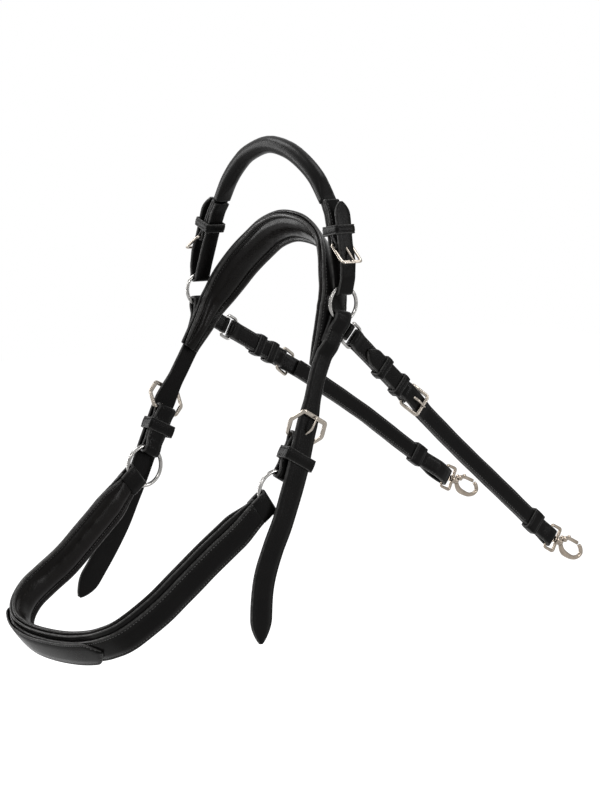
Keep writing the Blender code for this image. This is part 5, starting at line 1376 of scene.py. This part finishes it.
class SnapHook:
    """The swivel eye on a snap strap's end, and the cast hook with its gate and rivet."""

    def __init__(self, side, route):
        self.side = side
        run, across, self.outward = route.frame(route.length)
        self.centre = route.middle(route.length)
        tilt = Matrix.Rotation(HOOK_TURN[side], 3, Vector((1, 0, 0)))
        self.along = tilt @ run
        self.across = tilt @ across

    def at(self, reach, over, out=0.0):
        """A point by its reach along the hook, across it and out of it."""
        return self.centre + self.along * reach + self.across * over + self.outward * out

    def turned(self, shell, rows):
        """A round piece along the hook's axis from (reach, radius) rows."""
        shell.loft([[self.at(reach, size * a, size * b) for a, b in around(24)] for reach, size in rows])

    def disc(self, shell, place, radius, low, high):
        """A round plate across the hook with eased rims, from low to high out of it."""
        x, y = place
        ease = min(0.35 * MM, (high - low) / 3)
        small = radius - ease
        rows = [(low, small), (low + ease, radius), (high - ease, radius), (high, small)]
        shell.loft([[self.at(x + size * a, y + size * b, out) for a, b in around(28)] for out, size in rows])

    def eye(self):
        """The eye that the strap goes round, with the boss that the swivel turns in."""
        half = SNAP_EYE_WIDTH / 2
        inner = SNAP_EYE_DEPTH
        corners = [(0, -half), (inner, -half), (inner, half), (0, half)]
        flat = rounded_loop(corners, [SNAP_EYE_CORNER] * 4, 6, 2.0 * MM)

        def shape(index):
            share = max(0.0, min(1.0, flat[index][0] / inner))
            wide = SNAP_EYE_WIRE * (1 + 0.25 * share)
            return bevelled(wide, SNAP_EYE_WIRE * (1 + 0.1 * share), 1 - 0.8 * share)

        shell = Shell()
        swept(shell, [self.at(a, b) for a, b in flat], shape, self.outward, closed=True)
        boss = SWIVEL_BOSS_DIAMETER / 2
        bore = SWIVEL_STEM_DIAMETER / 2 + TOUCH_GAP
        self.turned(shell, [
            (BOSS_LOW, bore), (BOSS_LOW, boss - 0.5 * MM), (BOSS_LOW + 0.5 * MM, boss),
            (BOSS_HIGH - 0.5 * MM, boss), (BOSS_HIGH, boss - 0.5 * MM), (BOSS_HIGH, bore)])
        shell.build("snap_eye_" + self.side, "snap_eye_" + self.side, HOOKS)

    def body(self):
        """The cast hook, swelling at its shoulder, with its collar, the swivel's head and the gate's ears."""
        half = HOOK_WIDTH / 2
        line = catmull([Vector((HOOK_START + a * HOOK_LENGTH, b * half, 0)) for a, b in HOOK_FORM], 10)
        total = len(line)

        def swell(index):
            share = index / (total - 1)
            return 1.12 + 0.46 * eased(1 - abs(share - 0.22) / 0.30) - 0.10 * max(0.0, share - 0.9) * 10

        middle = Vector((HOOK_START + 0.5 * HOOK_LENGTH, 0, 0))
        for index, point in enumerate(line):
            inward = (middle - point).normalized()
            line[index] = point + inward * (swell(index) - 1) * HOOK_WIRE / 2

        def shape(index):
            return bevelled(HOOK_WIRE * swell(index), HOOK_WIRE * 0.92, 0.25)

        shell = Shell()
        swept(shell, [self.at(p[0], -p[1]) for p in line], shape, self.outward)
        collar = SWIVEL_BOSS_DIAMETER / 2 - 0.3 * MM
        stem = SWIVEL_STEM_DIAMETER / 2
        head = SWIVEL_HEAD_DIAMETER / 2
        self.turned(shell, [
            (NECK_AT, stem), (NECK_AT, collar - 0.6 * MM), (NECK_AT + 0.6 * MM, collar),
            (NECK_AT + 2.2 * MM, collar - 0.2 * MM), (HOOK_START - 0.4 * MM, collar - 0.5 * MM),
            (HOOK_START + 0.8 * MM, collar - 1.6 * MM)])
        low = BOSS_LOW - TOUCH_GAP - SWIVEL_HEAD_LENGTH
        high = low + SWIVEL_HEAD_LENGTH
        self.turned(shell, [
            (low, 1.4 * MM), (low, head - 0.5 * MM), (low + 0.5 * MM, head), (high, head), (high, stem),
            (NECK_AT + 0.5 * MM, stem)])
        self.disc(shell, GATE_PIVOT, HOOK_EAR_RADIUS, EAR_ROOM, EAR_OUT)
        self.disc(shell, GATE_PIVOT, HOOK_EAR_RADIUS, -EAR_OUT, -EAR_ROOM)
        shell.build("snap_hook_" + self.side, "snap_hook_" + self.side, HOOKS)

    def gate(self):
        """The sprung gate between the ears, with its thumb stud."""
        reach = GATE_PIVOT[0]
        gate_line = HOOK_WIDTH / 2 * 0.93
        points = fill(soften([
            GATE_PIVOT, (reach + 4 * MM, gate_line * 0.88), (reach + 8 * MM, gate_line),
            (HOOK_START + GATE_REACH, gate_line)], 2, False), 1.5 * MM)
        half = GATE_WIRE / 2
        shell = Shell()
        shape = bevelled(GATE_WIRE + 1.0 * MM, GATE_WIRE - 0.2 * MM, 0.4)
        swept(shell, [self.at(a, b) for a, b in points], shape, self.outward)
        self.disc(shell, GATE_PIVOT, 1.9 * MM, -half, half)
        thumb = (reach + 6.5 * MM, gate_line + 0.9 * MM)
        self.disc(shell, thumb, 2.1 * MM, -half + 0.2 * MM, half - 0.2 * MM)
        shell.build("snap_gate_" + self.side, "snap_gate_" + self.side, HOOKS)

    def pin(self):
        """The gate's rivet, with a head on each ear."""
        radius = GATE_PIN_DIAMETER / 2
        shell = Shell()
        self.disc(shell, GATE_PIVOT, radius + 0.5 * MM, EAR_OUT - 0.1 * MM, EAR_OUT + 0.5 * MM)
        self.disc(shell, GATE_PIVOT, radius + 0.5 * MM, -EAR_OUT - 0.5 * MM, -EAR_OUT + 0.1 * MM)
        self.disc(shell, GATE_PIVOT, radius, -EAR_OUT, EAR_OUT)
        shell.build("snap_pin_" + self.side, "snap_hook_" + self.side, HOOKS)


# Studio
SOFT_LIGHT = 0.35
FLOOR_REACH = 4.0
FLOOR_Z = -0.60
LAMP_TARGET = Vector((0.0, 0.02, -0.16))
CAMERA_TARGET = Vector((0.0, 0.019, -0.170))
CAMERA_DISTANCE = 2.5
CAMERA_ROUND = math.radians(51.6)
CAMERA_UP = math.radians(6.9)
# Each lamp's name, place, width, height and power
LAMPS = (
    ("key", (1.7, -1.5, 1.6), 0.7, 0.7, 22.0), ("side", (2.1, 1.3, 0.5), 0.3, 1.4, 22.0),
    ("left", (-1.9, -1.3, 0.3), 0.35, 2.2, 50.0), ("top", (-1.0, -0.4, 1.6), 0.6, 1.0, 30.0),
    ("back", (0.2, 0.9, 1.7), 0.8, 0.8, 14.0))


def placed(name, data, place, toward):
    """An object in the scene that looks along a direction."""
    made = bpy.data.objects.new(name, data)
    bpy.context.scene.collection.objects.link(made)
    made.location = place
    made.rotation_euler = toward.to_track_quat("-Z", "Y").to_euler()
    return made


def seen_directly(tree):
    """1 for rays that see the background itself or its reflection, 0 for rays that light the object."""
    path = node(tree, "ShaderNodeLightPath", {})
    value = path.outputs["Is Camera Ray"]
    for kind in ("Is Glossy Ray", "Is Transmission Ray"):
        value = maths(tree, "MAXIMUM", value, path.outputs[kind])
    return value


def two_shaders(tree, share, first, second):
    """Two shaders mixed by a share."""
    inputs = {0: share, 1: first.outputs[0], 2: second.outputs[0]}
    return node(tree, "ShaderNodeMixShader", inputs).outputs[0]


def studio():
    """White surroundings, a pale floor, soft lamps and the camera."""
    white = (1.0, 1.0, 1.0, 1.0)
    world = bpy.data.worlds.new("studio")
    bpy.context.scene.world = world
    world.use_nodes = True
    tree = world.node_tree
    tree.nodes.clear()
    soft = node(tree, "ShaderNodeBackground", {"Color": white, "Strength": SOFT_LIGHT})
    bright = node(tree, "ShaderNodeBackground", {"Color": white, "Strength": 1.0})
    node(tree, "ShaderNodeOutputWorld", {0: two_shaders(tree, seen_directly(tree), soft, bright)})

    floor_mesh = bpy.data.meshes.new("floor")
    corners = [(x * FLOOR_REACH, y * FLOOR_REACH, FLOOR_Z) for x, y in ((-1, -1), (1, -1), (1, 1), (-1, 1))]
    floor_mesh.from_pydata(corners, [], [(0, 1, 2, 3)])
    floor = bpy.data.objects.new("floor", floor_mesh)
    bpy.context.scene.collection.objects.link(floor)
    pale = bpy.data.materials.new("pale_floor")
    pale.use_nodes = True
    tree = pale.node_tree
    shader = tree.nodes["Principled BSDF"]
    tone = node(tree, "ShaderNodeTexNoise", {"Scale": 3.0, "Detail": 2.0}).outputs["Fac"]
    wire(tree, shader, {
        "Base Color": mixed(tree, tone, (0.90, 0.90, 0.90), (0.93, 0.93, 0.93)), "Roughness": 0.9,
        "Specular IOR Level": 0.1})
    glow = node(tree, "ShaderNodeEmission", {"Color": white, "Strength": 1.3})
    share = maths(tree, "MULTIPLY", seen_directly(tree), 0.70)
    wire(tree, tree.nodes["Material Output"], {0: two_shaders(tree, share, shader, glow)})
    floor_mesh.materials.append(pale)

    for name, place, wide, high, power in LAMPS:
        data = bpy.data.lights.new(name, "AREA")
        data.shape = "RECTANGLE"
        data.size = wide
        data.size_y = high
        data.energy = power
        placed(name, data, place, LAMP_TARGET - Vector(place))

    data = bpy.data.cameras.new("camera")
    data.lens = 112.5
    data.sensor_width = 36.0
    flat = math.cos(CAMERA_UP)
    toward = Vector((math.sin(CAMERA_ROUND) * flat, -math.cos(CAMERA_ROUND) * flat, math.sin(CAMERA_UP)))
    bpy.context.scene.camera = placed("camera", data, CAMERA_TARGET + toward * CAMERA_DISTANCE, -toward)
    bpy.context.scene.view_settings.view_transform = "Standard"


neck_piece()
for side, sign in SIDES.items():
    main_side(side, sign)
chest_band()
hand_roll()
for side, sign in SIDES.items():
    hand_side(side, sign)
for side, sign in SIDES.items():
    snap_side(side, sign)
studio()
